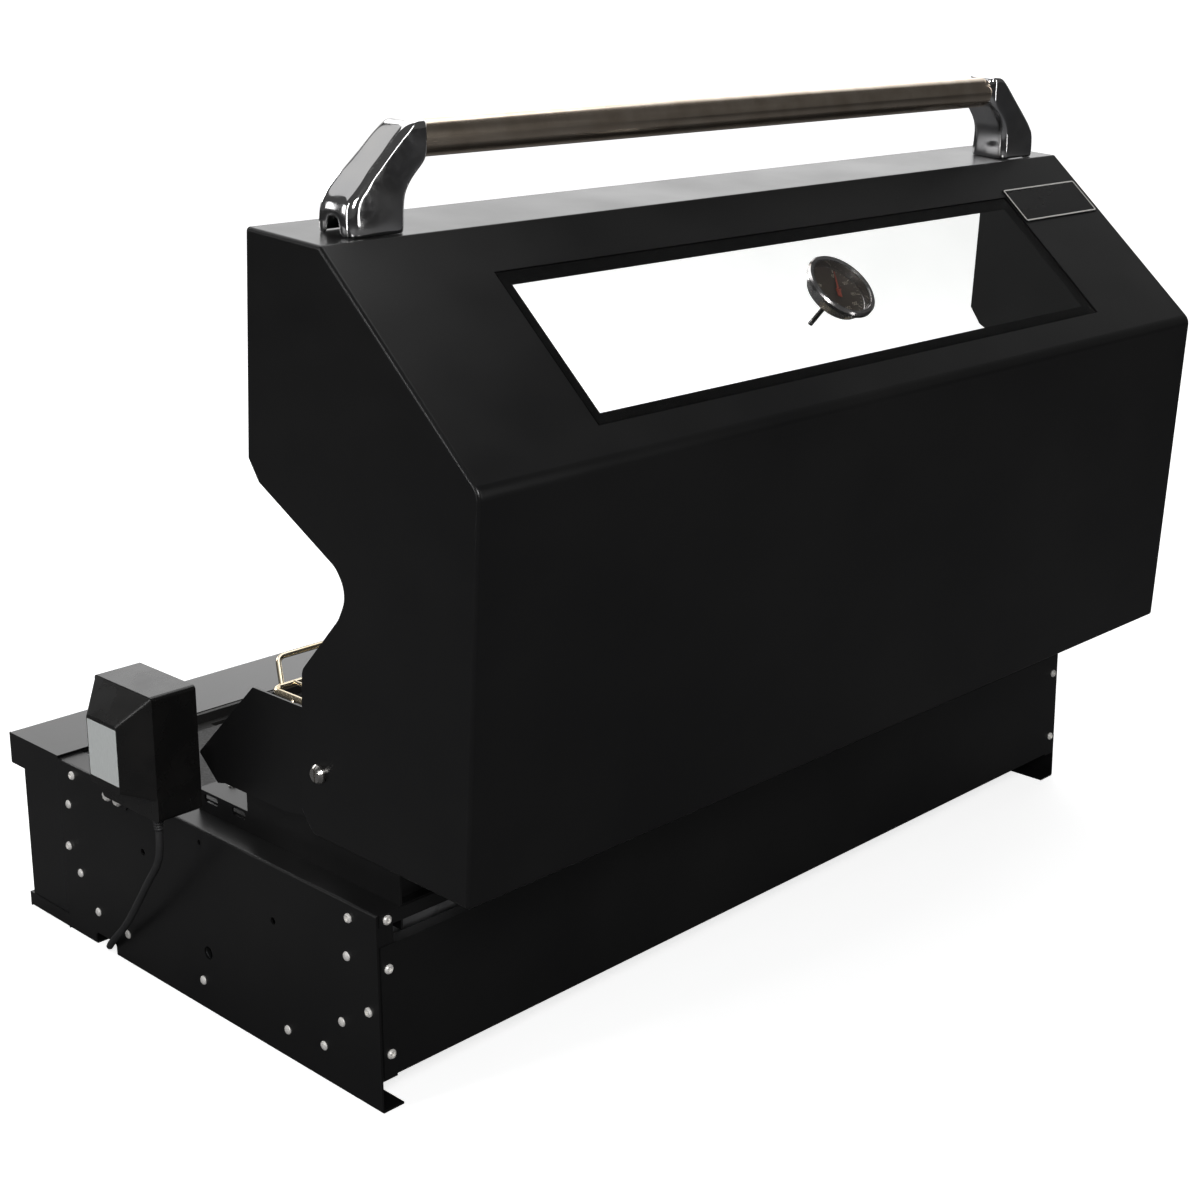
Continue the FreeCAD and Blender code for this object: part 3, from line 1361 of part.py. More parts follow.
def coil_path():
    """Half turns inwards in the lower layer, a climb, and half turns outwards in the upper one."""
    cx, cy = coil_middle
    step = coil_pitch() / 2
    z = coil_low()
    radius = coil_outer_radius()
    angle = -90.0
    centre = Vector(cx, cy, 0)
    arcs = []
    for k in range(2 * coil_turns_per_layer):
        arcs.append(Part.Arc(*arc_points(centre, radius, angle, -180.0, z)))
        out = Vector(math.cos(math.radians(angle - 180)), math.sin(math.radians(angle - 180)), 0)
        angle -= 180.0
        centre = centre + out * step
        radius -= step
    out = Vector(math.cos(math.radians(angle)), math.sin(math.radians(angle)), 0)
    p0 = centre + out * radius
    p0.z = z
    rise = coil_pitch()
    p1 = centre - out * radius
    p1.z = z + rise
    t0 = Vector(out.y, -out.x, 0)
    reach = (p1 - p0).Length / 2
    q0 = p0 + t0 * reach
    q1 = p1 + t0 * reach
    joint = (q0 + q1) * 0.5
    arcs.append(tangent_arc(p0, t0, joint))
    arcs.append(reversed_arc(tangent_arc(p1, t0, joint)))
    angle -= 180.0
    z += rise
    for k in range(2 * coil_turns_per_layer):
        out = Vector(math.cos(math.radians(angle)), math.sin(math.radians(angle)), 0)
        centre = centre - out * step
        radius += step
        arcs.append(Part.Arc(*arc_points(centre, radius, angle, -180.0, z)))
        angle -= 180.0
    end = centre + Vector(math.cos(math.radians(angle)), math.sin(math.radians(angle)), 0) * radius
    end.z = z
    onwards = Vector(math.sin(math.radians(angle)), -math.cos(math.radians(angle)), 0)
    arcs.append(Part.LineSegment(end, end + onwards * coil_tail))
    return arcs


def tangent_arc(start, direction, end):
    """The arc from a point, leaving in a direction, to another point."""
    chord = end - start
    plane_normal = direction.cross(chord)
    plane_normal.normalize()
    side = plane_normal.cross(direction)
    side.normalize()
    radius = chord.dot(chord) / (2 * chord.dot(side))
    centre = start + side * radius
    a = start - centre
    b = end - centre
    middle = a + b
    middle.normalize()
    return Part.Arc(start, centre + middle * radius, end)


def reversed_arc(arc):
    """The same arc run the other way."""
    shape = arc.toShape()
    first, last = shape.valueAt(shape.LastParameter), shape.valueAt(shape.FirstParameter)
    middle = shape.valueAt((shape.FirstParameter + shape.LastParameter) / 2)
    return Part.Arc(first, middle, last)


def tube_along(edges, start, direction, radius):
    """A round tube swept along edges that follow each other tangentially."""
    path = Part.Wire(edges)
    ring = Part.Wire([Part.makeCircle(radius, start, direction)])
    return path.makePipeShell([ring], True, False)


def bent_rod(points, radius, bend):
    """A round wire along straight runs, with bends of one radius at the corners between them."""
    corners = [Vector(*p) for p in points]
    edges = []
    here = corners[0]
    for before, corner, after in zip(corners, corners[1:], corners[2:]):
        back, on = before - corner, after - corner
        back.normalize()
        on.normalize()
        turn = math.pi - back.getAngle(on)
        cut = bend * math.tan(turn / 2)
        inwards = back + on
        inwards.normalize()
        crown = corner + inwards * (bend / math.cos(turn / 2) - bend)
        edges.append(Part.LineSegment(here, corner + back * cut).toShape())
        edges.append(Part.Arc(corner + back * cut, crown, corner + on * cut).toShape())
        here = corner + on * cut
    edges.append(Part.LineSegment(here, corners[-1]).toShape())
    return tube_along(edges, corners[0], corners[1] - corners[0], radius)


def cord_edges():
    """Straight runs joined by tangent arcs, and the radii of those arcs."""
    points = [Vector(*p) for p in cord_points()]
    edges = []
    radii = []
    here = points[0]
    for before, corner, after in zip(points, points[1:], points[2:]):
        back, on = before - corner, after - corner
        shorter = min(back.Length, on.Length)
        back.normalize()
        on.normalize()
        turn = math.pi - back.getAngle(on)
        cut = 0.45 * shorter
        radius = cut / math.tan(turn / 2)
        radii.append(radius)
        a, b = corner + back * cut, corner + on * cut
        inwards = back + on
        inwards.normalize()
        crown = corner + inwards * (radius / math.cos(turn / 2) - radius)
        edges.append(Part.LineSegment(here, a).toShape())
        edges.append(Part.Arc(a, crown, b).toShape())
        here = b
    edges.append(Part.LineSegment(here, points[-1]).toShape())
    return edges, radii


def motor_cord():
    """The cord from the gland down the side plate, under its edge and in to the coil."""
    points = [Vector(*p) for p in cord_points()]
    edges, radii = cord_edges()
    print("cord bend radii:", " ".join("%.0f" % r for r in radii))
    tube = tube_along(edges, points[0], points[1] - points[0], cord_radius)
    length = sum(edge.Length for edge in edges)
    print("cord length %.1f, volume against section times length %.4f"
          % (length, tube.Volume / (math.pi * cord_radius ** 2 * length)))
    return tube


def cord_coil():
    """The put-away length of cord, wound in two layers, ending at the plug."""
    arcs = coil_path()
    edges = [arc.toShape() for arc in arcs]
    tube = tube_along(edges, Vector(*coil_start()), Vector(-1, 0, 0), cord_radius)
    length = sum(edge.Length for edge in edges)
    print("coil length %.1f, volume against section times length %.4f"
          % (length, tube.Volume / (math.pi * cord_radius ** 2 * length)))
    spots = []
    for number, edge in enumerate(edges):
        for k in range(24):
            part = (edge.LastParameter - edge.FirstParameter) * k / 24
            spots.append((number, edge.valueAt(edge.FirstParameter + part)))
    least = min((a - b).Length for i, a in spots for j, b in spots if j - i >= 2)
    print("coil least gap to itself %.2f" % (least - cord_diameter))
    return tube


def coil_end():
    """Where the coil's outermost upper turn ends, and the way it points."""
    last = coil_path()[-1].toShape()
    return last.valueAt(last.LastParameter), last.tangentAt(last.LastParameter)


def cord_plug():
    """The moulded plug with two round pins, at the end of the coil."""
    end, direction = coil_end()
    neck, waist, wide = plug_neck_width / 2, plug_waist_width / 2, plug_width / 2
    body = prism_z([(0, -neck, 2), (plug_neck_length, -waist, 3), (plug_length, -wide, 4),
                    (plug_length, wide, 4), (plug_neck_length, waist, 3), (0, neck, 2)],
                   -plug_height / 2, plug_height / 2)
    pins = [rod((plug_length - 1, y, 0), (plug_length + pin_length, y, 0), pin_radius)
            for y in (-pin_spacing / 2, pin_spacing / 2)]
    plug = joined([body] + pins)
    plug.Placement = FreeCAD.Placement(end, FreeCAD.Rotation(Vector(1, 0, 0), direction))
    return plug


def build_all():
    """Every piece of the grill by its node name, in workshop coordinates."""
    right_plate = right_side_plate()
    wall = hinge_wall()
    bracket = swung_open(handle_bracket())
    one_burner = burner()
    nodes = {
        "side_plate_right": right_plate,
        "side_plate_left": mirrored(side_plate()),
        "back_panel": back_panel(),
        "back_rail": back_rail(),
        "back_shield": back_shield(),
        "hinge_wall_right": wall,
        "hinge_wall_left": mirrored(wall),
        "firebox": firebox(),
        "tray_runners": tray_runners(),
        "front_rail": front_rail(),
        "control_panel": control_panel(),
        "panel_end_caps": panel_end_caps(),
        "gas_manifold": gas_manifold(),
        "gas_inlet": gas_inlet(),
        "gas_valves": gas_valves(),
        "flame_tamers": flame_tamers(),
        "grill_plate_left": grill_plate(-plate_pitch),
        "grill_plate_middle": grill_plate(0),
        "hotplate_right": cooking_plate_blank(plate_pitch),
        "warming_rack": warming_rack(),
        "screws": screws(),
        "rivets": rivets(),
        "hinge_bolts": hinge_bolts(),
        "motor_housing": motor_housing(),
        "motor_bracket": motor_bracket(),
        "bracket_bolts": bracket_bolts(),
        "cable_gland": cable_gland(),
        "motor_cord": motor_cord(),
        "cord_coil": cord_coil(),
        "cord_plug": cord_plug(),
        "spit_socket": spit_socket(),
        "motor_switch": motor_switch(),
        "hood_shell": swung_open(hood_shell()),
        "window_frame": swung_open(window_frame()),
        "window_glass": swung_open(window_glass()),
        "thermometer_case": swung_open(thermometer_case()),
        "thermometer_needle": swung_open(thermometer_needle()),
        "thermometer_lens": swung_open(thermometer_lens()),
        "handle_tube": swung_open(handle_tube()),
        "handle_bracket_right": bracket,
        "handle_bracket_left": mirrored(bracket),
        "drip_tray": drip_tray(),
    }
    for number, x in enumerate(burner_places(), start=1):
        nodes["burner_%d" % number] = one_burner.copy().translate(Vector(x, 0, 0))
        nodes["valve_stem_%d" % number] = valve_stem(x)
        nodes["knob_%d" % number] = knob(x)
    return nodes


cord_node_names = ("motor_cord", "cord_coil", "cord_plug")


def frame_shift(nodes):
    """How far everything moves so that the origin is under the middle of the grill."""
    bounds = FreeCAD.BoundBox()
    for name, shape in nodes.items():
        if name not in cord_node_names:
            bounds.add(shape.optimalBoundingBox(False, False))
    return Vector(-(bounds.XMin + bounds.XMax) / 2, -(bounds.YMin + bounds.YMax) / 2, -bounds.ZMin)


def main():
    """Builds every piece, moves it into the part's frame and writes one file for each."""
    os.makedirs("parts", exist_ok=True)
    nodes = build_all()
    shift = frame_shift(nodes)
    print("frame shift %.4f %.4f %.4f" % (shift.x, shift.y, shift.z))
    for name, shape in nodes.items():
        shape.translate(shift)
        if not shape.isValid():
            print("not valid:", name)
        shape.exportStep("parts/" + name + ".step")
    print("nodes written:", len(nodes))


main()
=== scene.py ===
import math

import bmesh
import bpy
from mathutils import Matrix, Vector


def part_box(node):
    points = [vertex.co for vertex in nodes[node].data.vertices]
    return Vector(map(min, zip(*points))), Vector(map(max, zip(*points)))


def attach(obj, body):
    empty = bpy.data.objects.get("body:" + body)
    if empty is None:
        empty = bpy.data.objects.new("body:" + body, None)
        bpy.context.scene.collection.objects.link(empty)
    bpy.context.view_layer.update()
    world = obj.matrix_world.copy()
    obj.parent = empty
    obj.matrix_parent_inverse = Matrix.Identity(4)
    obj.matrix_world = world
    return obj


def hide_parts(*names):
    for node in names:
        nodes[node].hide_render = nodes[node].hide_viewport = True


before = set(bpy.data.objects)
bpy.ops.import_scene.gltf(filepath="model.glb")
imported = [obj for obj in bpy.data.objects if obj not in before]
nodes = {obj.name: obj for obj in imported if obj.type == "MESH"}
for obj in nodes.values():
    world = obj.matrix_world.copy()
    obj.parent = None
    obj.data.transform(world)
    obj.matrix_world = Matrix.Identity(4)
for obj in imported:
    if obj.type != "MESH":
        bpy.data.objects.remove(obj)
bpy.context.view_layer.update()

# The view.
# The grill is seen from behind its motor end, a little above the hood, with a long lens.
# Places below are in metres from the middle of the grill, the back of its side plates and the ground.
half_body_length = 0.520
plate_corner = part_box("side_plate_right")[1]
grill_origin = Vector((plate_corner.x - half_body_length, plate_corner.y, 0.0))
photo_width = 1200
picture_centre = (653.9, 478.3)
focal_pixels = 2042.1
sensor_width = 36.0
view_azimuth = math.radians(133.66)
view_elevation = math.radians(14.36)
camera_place = Vector((1.4929, 1.2511, 0.9668))

backwards = Vector((math.sin(view_azimuth) * math.cos(view_elevation),
                    -math.cos(view_azimuth) * math.cos(view_elevation), math.sin(view_elevation)))
rightwards = (-backwards).cross(Vector((0, 0, 1))).normalized()
upwards = backwards.cross(rightwards)
camera = bpy.data.objects.new("camera", bpy.data.cameras.new("camera"))
camera.data.sensor_width = sensor_width
camera.data.lens = focal_pixels / photo_width * sensor_width
camera.data.shift_x = (photo_width / 2 - picture_centre[0]) / photo_width
camera.data.shift_y = (picture_centre[1] - photo_width / 2) / photo_width
camera.matrix_world = (Matrix.Translation(grill_origin + camera_place)
                       @ Matrix((rightwards, upwards, backwards)).transposed().to_4x4())
bpy.context.scene.collection.objects.link(camera)
bpy.context.scene.camera = camera
bpy.context.scene.view_settings.view_transform = "Standard"

# The floor and the light of the studio.
# A pale sweep of paper lies under the grill, keeps its shadow and grows brighter further off.
# A broad lamp hangs overhead, a smaller one stands behind the camera, and the far wall is bright.
floor_half_size = 30.0
floor_white = (0.80, 0.80, 0.80, 1)
floor_bounce = (0.12, 0.12, 0.122, 1)
near_glow = 0.72
far_glow = 1.0
glow_reach = (0.9, 2.6)
wall_reach = (0.60, 0.96)
wall_strength = 1.8
room_strength = 0.06
clean_white = (1, 1, 1, 1)
bright_wall = Vector((-0.72, -0.69, 0.0))
same_depth = 0.5


def plain_mesh(name, corners, faces):
    """A new object made of corners and faces."""
    mesh = bpy.data.meshes.new(name)
    mesh.from_pydata([tuple(c) for c in corners], [], faces)
    mesh.update()
    thing = bpy.data.objects.new(name, mesh)
    bpy.context.scene.collection.objects.link(thing)
    return thing


def seen_white(tree, light_path):
    """One where a ray from the camera has met nothing but glass, and nought elsewhere."""
    same = tree.nodes.new("ShaderNodeMath")
    same.operation = "COMPARE"
    tree.links.new(light_path.outputs["Ray Depth"], same.inputs[0])
    tree.links.new(light_path.outputs["Transmission Depth"], same.inputs[1])
    same.inputs[2].default_value = same_depth
    return same.outputs[0]


paper = bpy.data.materials.new("studio_paper")
paper.use_nodes = True
tree = paper.node_tree
tree.nodes.clear()
white = tree.nodes.new("ShaderNodeBsdfDiffuse")
white.inputs["Color"].default_value = floor_white
glow = tree.nodes.new("ShaderNodeEmission")
floor_place = tree.nodes.new("ShaderNodeTexCoord")
distance = tree.nodes.new("ShaderNodeVectorMath")
distance.operation = "LENGTH"
glow_by_distance = tree.nodes.new("ShaderNodeMapRange")
glow_by_distance.inputs["From Min"].default_value = glow_reach[0]
glow_by_distance.inputs["From Max"].default_value = glow_reach[1]
glow_by_distance.inputs["To Min"].default_value = near_glow
glow_by_distance.inputs["To Max"].default_value = far_glow
tree.links.new(floor_place.outputs["Object"], distance.inputs[0])
tree.links.new(distance.outputs["Value"], glow_by_distance.inputs["Value"])
tree.links.new(glow_by_distance.outputs["Result"], glow.inputs["Strength"])
lit = tree.nodes.new("ShaderNodeAddShader")
dim = tree.nodes.new("ShaderNodeBsdfDiffuse")
dim.inputs["Color"].default_value = floor_bounce
choice = tree.nodes.new("ShaderNodeMixShader")
surface = tree.nodes.new("ShaderNodeOutputMaterial")
tree.links.new(white.outputs[0], lit.inputs[0])
tree.links.new(glow.outputs[0], lit.inputs[1])
tree.links.new(seen_white(tree, tree.nodes.new("ShaderNodeLightPath")), choice.inputs[0])
tree.links.new(dim.outputs[0], choice.inputs[1])
tree.links.new(lit.outputs[0], choice.inputs[2])
tree.links.new(choice.outputs[0], surface.inputs["Surface"])
reach = floor_half_size
floor = plain_mesh("floor", [(-reach, -reach, 0), (reach, -reach, 0), (reach, reach, 0), (-reach, reach, 0)],
                   [(0, 1, 2, 3)])
floor.data.materials.append(paper)

world = bpy.data.worlds.new("studio")
bpy.context.scene.world = world
world.use_nodes = True
tree = world.node_tree
tree.nodes.clear()
direction = tree.nodes.new("ShaderNodeTexCoord")
towards = tree.nodes.new("ShaderNodeVectorMath")
towards.operation = "DOT_PRODUCT"
towards.inputs[1].default_value = bright_wall
wall_light = tree.nodes.new("ShaderNodeMapRange")
wall_light.inputs["From Min"].default_value = wall_reach[0]
wall_light.inputs["From Max"].default_value = wall_reach[1]
wall_light.inputs["To Min"].default_value = room_strength
wall_light.inputs["To Max"].default_value = wall_strength
room = tree.nodes.new("ShaderNodeBackground")
room.inputs["Color"].default_value = clean_white
backdrop = tree.nodes.new("ShaderNodeBackground")
backdrop.inputs["Color"].default_value = clean_white
choice = tree.nodes.new("ShaderNodeMixShader")
surface = tree.nodes.new("ShaderNodeOutputWorld")
tree.links.new(direction.outputs["Generated"], towards.inputs[0])
tree.links.new(towards.outputs["Value"], wall_light.inputs["Value"])
tree.links.new(wall_light.outputs["Result"], room.inputs["Strength"])
tree.links.new(seen_white(tree, tree.nodes.new("ShaderNodeLightPath")), choice.inputs[0])
tree.links.new(room.outputs[0], choice.inputs[1])
tree.links.new(backdrop.outputs[0], choice.inputs[2])
tree.links.new(choice.outputs[0], surface.inputs["Surface"])


def lamp(name, place, target, size, watts):
    """A studio lamp, wide and high by its size, that faces a point."""
    light = bpy.data.lights.new(name, "AREA")
    light.shape = "RECTANGLE"
    light.size, light.size_y = size
    light.energy = watts
    stand = bpy.data.objects.new(name, light)
    stand.location = place
    stand.rotation_euler = (Vector(target) - Vector(place)).to_track_quat("-Z", "Y").to_euler()
    bpy.context.scene.collection.objects.link(stand)


lamp("overhead_lamp", place=(-0.4, -0.6, 3.0), target=(0, 0, 0.4), size=(2.4, 2.4), watts=30)
lamp("camera_lamp", place=(2.6, 3.0, 2.4), target=(0, 0, 0.3), size=(1.2, 1.2), watts=85)
lamp("end_strip", place=(3.0, -0.3, 1.2), target=(0.5, 0, 0.5), size=(0.22, 2.2), watts=12)
lamp("back_strip", place=(-0.9, 3.0, 1.3), target=(0, 0, 0.5), size=(0.22, 2.2), watts=8)
lamp("end_glow", place=(3.4, -2.2, 1.6), target=(0.45, 0, 0.8), size=(1.3, 1.3), watts=9)
lamp("far_lamp", place=(0.5, -3.9, 1.9), target=(0, 0, 0.3), size=(1.2, 1.2), watts=32)
lamp("handle_panel", place=(1.15, -1.5, 2.7), target=(0.4, 0, 0.8), size=(1.8, 1.1), watts=3)

# Side plates.
# Each end of the grill is one 2 mm steel sheet, laser cut, folded inwards along four edges.
# It is coated in black enamel, which has a faint orange peel and fine dust in it.
enamel_black = (0.0045, 0.0045, 0.0048)
enamel_worn = (0.0095, 0.0093, 0.0092)
enamel_dust = (0.040, 0.039, 0.037)
cloud_scale = 5.0
dust_scale = 1400.0
smear_scale = 11.0
peel_scale = 520.0
dust_span = (0.74, 0.82)
dust_cover = (0, 0.6)
broad_span = (0.35, 0.75)
middle_span = (0.3, 0.7)
body_roughness = 0.34


def new_finish(name):
    """A new material, its node tree and its surface shader."""
    material = bpy.data.materials.new(name)
    material.use_nodes = True
    shader = material.node_tree.nodes["Principled BSDF"]
    return material, material.node_tree, shader


def grain(tree, scale, stretch=(1, 1, 1), detail=3.0):
    """Noise in the piece's own coordinates, with so many grains to the metre."""
    place = tree.nodes.new("ShaderNodeTexCoord")
    stretched = tree.nodes.new("ShaderNodeMapping")
    stretched.inputs["Scale"].default_value = stretch
    noise = tree.nodes.new("ShaderNodeTexNoise")
    noise.inputs["Scale"].default_value = scale
    noise.inputs["Detail"].default_value = detail
    tree.links.new(place.outputs["Object"], stretched.inputs["Vector"])
    tree.links.new(stretched.outputs["Vector"], noise.inputs["Vector"])
    return noise.outputs["Fac"]


def spread(tree, value, span, to=(0, 1)):
    """Maps a value from one span to another."""
    mapping = tree.nodes.new("ShaderNodeMapRange")
    for name, number in zip(("From Min", "From Max", "To Min", "To Max"), span + to):
        mapping.inputs[name].default_value = number
    tree.links.new(value, mapping.inputs["Value"])
    return mapping.outputs["Result"]


def blend_of(tree, share, first, second):
    """Mixes two colours, or a colour into an output, by a share."""
    mix = tree.nodes.new("ShaderNodeMix")
    mix.data_type = "RGBA"
    tree.links.new(share, mix.inputs["Factor"])
    for socket, colour in (("A", first), ("B", second)):
        target = next(s for s in mix.inputs if s.name == socket and s.type == "RGBA")
        if isinstance(colour, bpy.types.NodeSocket):
            tree.links.new(colour, target)
        else:
            target.default_value = tuple(colour) + (1,)
    return next(s for s in mix.outputs if s.type == "RGBA")


def around(middle, less, more):
    """The span from so much less than a value to so much more."""
    return (middle - less, middle + more)


def raise_surface(tree, shader, height, depth, strength):
    """Bumps the surface by a height, which counts as so many metres."""
    bump = tree.nodes.new("ShaderNodeBump")
    bump.inputs["Distance"].default_value = depth
    bump.inputs["Strength"].default_value = strength
    tree.links.new(height, bump.inputs["Height"])
    tree.links.new(bump.outputs["Normal"], shader.inputs["Normal"])


def enamel(name, roughness, peel=0.00012):
    """Black enamel on sheet steel."""
    material, tree, shader = new_finish(name)
    cloud = grain(tree, cloud_scale, detail=5.0)
    dust = grain(tree, dust_scale, detail=1.0)
    tone = blend_of(tree, spread(tree, cloud, broad_span), enamel_black, enamel_worn)
    tone = blend_of(tree, spread(tree, dust, dust_span, dust_cover), tone, enamel_dust)
    tree.links.new(tone, shader.inputs["Base Color"])
    smear = grain(tree, smear_scale, stretch=(1, 1, 2.5), detail=6.0)
    sheen = spread(tree, smear, middle_span, around(roughness, less=0.02, more=0.03))
    tree.links.new(sheen, shader.inputs["Roughness"])
    raise_surface(tree, shader, grain(tree, peel_scale, detail=2.0), depth=peel, strength=0.35)
    return material


def dress(material, slot, *names):
    """Gives CAD nodes a finish; the slot, which names that finish in the record, is not used."""
    for name in names:
        piece = nodes[name]
        piece.data.materials.clear()
        piece.data.materials.append(material)


body_enamel = enamel("body_enamel", body_roughness)
dress(body_enamel, "body_enamel", "side_plate_right", "side_plate_left")

# Back panel, back rail and wind shield.
# Thin steel sheets in the same enamel are screwed over the back flanges of the side plates.
# The low shield behind the cooking plates stands on the rail.
dress(body_enamel, "body_enamel", "back_panel", "back_rail", "back_shield")

# Hinge walls.
# Folded sheet walls stand on the side plates, carry the hood's hinge and close the cooking space.
# They are enamelled like the body, and their front slots let air in.
dress(body_enamel, "body_enamel", "hinge_wall_right", "hinge_wall_left")

# Firebox and tray runners.
# The open box under the cooking plates is aluminised steel, which keeps a grey crystal pattern.
# The runners that carry the drip tray are plain zinc-coated angles, riveted to the side plates.
zinc_light = (0.56, 0.56, 0.57)
zinc_dark = (0.40, 0.41, 0.42)
zinc_roughness = 0.42
haze_scale = 25.0
coat_scale = 300.0


def coated_steel(name, light, dark, roughness, crystal=60.0):
    """Steel with a zinc or aluminium coat that has set in crystals."""
    material, tree, shader = new_finish(name)
    place = tree.nodes.new("ShaderNodeTexCoord")
    cells = tree.nodes.new("ShaderNodeTexVoronoi")
    cells.inputs["Scale"].default_value = crystal
    tree.links.new(place.outputs["Object"], cells.inputs["Vector"])
    shade = tree.nodes.new("ShaderNodeSeparateColor")
    tree.links.new(cells.outputs["Color"], shade.inputs["Color"])
    tone = blend_of(tree, shade.outputs["Red"], dark, light)
    tree.links.new(tone, shader.inputs["Base Color"])
    shader.inputs["Metallic"].default_value = 1.0
    haze = grain(tree, haze_scale, detail=6.0)
    sheen = spread(tree, haze, middle_span, around(roughness, less=0.08, more=0.1))
    tree.links.new(sheen, shader.inputs["Roughness"])
    raise_surface(tree, shader, grain(tree, coat_scale), depth=0.0001, strength=0.4)
    return material


aluminised = coated_steel("aluminised_steel", zinc_light, zinc_dark, zinc_roughness)
dress(aluminised, "tray_steel", "firebox", "tray_runners")

# Burners and flame tamers.
# Six folded stainless bars burn the gas through slots in their shoulders.
# Folded stainless sheets above them spread the heat and keep fat off, and are straw-tinted by it.
burner_cool = (0.52, 0.50, 0.47)
burner_straw = (0.50, 0.41, 0.28)
burner_count = 6
burner_roughness = 0.36
tint_span = (0.42, 0.68)
tint_scale = 9.0
rolling_scale = 60.0


def heated_steel(name, cool, warm, roughness):
    """Stainless sheet with the straw tint that heat leaves in patches."""
    material, tree, shader = new_finish(name)
    patch = grain(tree, tint_scale, stretch=(1, 0.5, 1), detail=5.0)
    tone = blend_of(tree, spread(tree, patch, tint_span), cool, warm)
    tree.links.new(tone, shader.inputs["Base Color"])
    shader.inputs["Metallic"].default_value = 1.0
    rolled = grain(tree, rolling_scale, stretch=(40, 1, 40), detail=3.0)
    sheen = spread(tree, rolled, middle_span, around(roughness, less=0.07, more=0.09))
    tree.links.new(sheen, shader.inputs["Roughness"])
    raise_surface(tree, shader, rolled, depth=0.00006, strength=0.4)
    return material


burner_steel = heated_steel("burner_steel", burner_cool, burner_straw, burner_roughness)
burner_names = ["burner_%d" % number for number in range(1, burner_count + 1)]
dress(burner_steel, "steel_burner", "flame_tamers", *burner_names)

# Gas pipe, inlet and taps.
# A zinc-plated pipe feeds six die-cast taps, each with a brass jet pointing into its burner.
# The inlet union is turned brass, and the tap stems are bright steel.
brass_bright = (0.72, 0.52, 0.24)
brass_dull = (0.52, 0.37, 0.18)
pipe_light = (0.60, 0.59, 0.55)
pipe_dark = (0.46, 0.45, 0.40)
stem_light = (0.66, 0.65, 0.63)
stem_dark = (0.52, 0.51, 0.50)
pipe_roughness = 0.34
brass_roughness = 0.26
stem_roughness = 0.22
tarnish_scale = 45.0
tarnish_span = (0.35, 0.7)
finest_share = 0.7
coarsest_share = 1.4


def machined(name, bright, dull, roughness, scratches=180.0, along=(1, 1, 1)):
    """Turned or polished metal with fine tool marks and a little tarnish."""
    material, tree, shader = new_finish(name)
    tarnish = grain(tree, tarnish_scale, detail=5.0)
    tone = blend_of(tree, spread(tree, tarnish, tarnish_span), bright, dull)
    tree.links.new(tone, shader.inputs["Base Color"])
    shader.inputs["Metallic"].default_value = 1.0
    marks = grain(tree, scratches, stretch=along, detail=3.0)
    sheen = spread(tree, marks, middle_span, (roughness * finest_share, roughness * coarsest_share))
    tree.links.new(sheen, shader.inputs["Roughness"])
    raise_surface(tree, shader, marks, depth=0.00003, strength=0.35)
    return material


pipe_steel = machined("pipe_steel", pipe_light, pipe_dark, pipe_roughness)
turned_brass = machined("turned_brass", brass_bright, brass_dull, brass_roughness, along=(6, 1, 1))
stem_steel = machined("stem_steel", stem_light, stem_dark, stem_roughness)
dress(pipe_steel, "manifold_steel", "gas_manifold")
dress(turned_brass, "brass", "gas_inlet", "gas_valves")
dress(stem_steel, "stainless", *["valve_stem_%d" % number for number in range(1, burner_count + 1)])

# Control panel, its end caps and the rail under it.
# One folded sheet makes the shelf, its lip and the sloping fascia in front, with holes for the tap stems.
# Caps close its ends, and an inverted channel under it rests on the counter; the shelf is glossy.
shelf_roughness = 0.18
shelf_enamel = enamel("shelf_enamel", shelf_roughness)
dress(shelf_enamel, "body_enamel", "control_panel", "panel_end_caps")
dress(body_enamel, "body_enamel", "front_rail")

# Knobs.
# Each control knob is moulded in black plastic with a grip bar across it, and pushed on to its tap stem.
# A white line let into the grip shows how far the tap is open.
knob_black = (0.008, 0.008, 0.0085)
knob_grey = (0.016, 0.016, 0.0165)
knob_roughness = 0.36
line_white = (0.74, 0.73, 0.70)
line_grey = (0.62, 0.61, 0.58)
line_roughness = 0.5
line_width = 0.0016
line_length = 0.0150
line_end_radius = line_width * 0.45
line_proud = 0.0002
line_end_gap = 0.0060
rub_scale = 30.0
rub_span = (0.4, 0.75)
rub_polish = 0.05
corner_steps = 6
slab_edge_share = 0.35
quarter_turn = math.radians(90)
upright = Matrix.Rotation(quarter_turn, 4, "X")


def moulded(name, dark, pale, roughness, texture=900.0, depth=0.00008):
    """Moulded plastic with a fine spark texture and slight rubbing."""
    material, tree, shader = new_finish(name)
    rubbed = grain(tree, rub_scale, detail=6.0)
    tone = blend_of(tree, spread(tree, rubbed, rub_span), dark, pale)
    tree.links.new(tone, shader.inputs["Base Color"])
    sheen = spread(tree, rubbed, middle_span, (roughness + rub_polish, roughness - rub_polish))
    tree.links.new(sheen, shader.inputs["Roughness"])
    raise_surface(tree, shader, grain(tree, texture, detail=2.0), depth, strength=0.4)
    return material


def rounded_rectangle(half_x, half_y, radius, steps=corner_steps):
    """Corner points of a rectangle with round corners, about the origin."""
    points = []
    for corner, (sx, sy) in enumerate(((1, 1), (-1, 1), (-1, -1), (1, -1))):
        for step in range(steps + 1):
            angle = quarter_turn * (corner + step / steps)
            points.append((sx * (half_x - radius) + radius * math.cos(angle),
                           sy * (half_y - radius) + radius * math.sin(angle)))
    return points


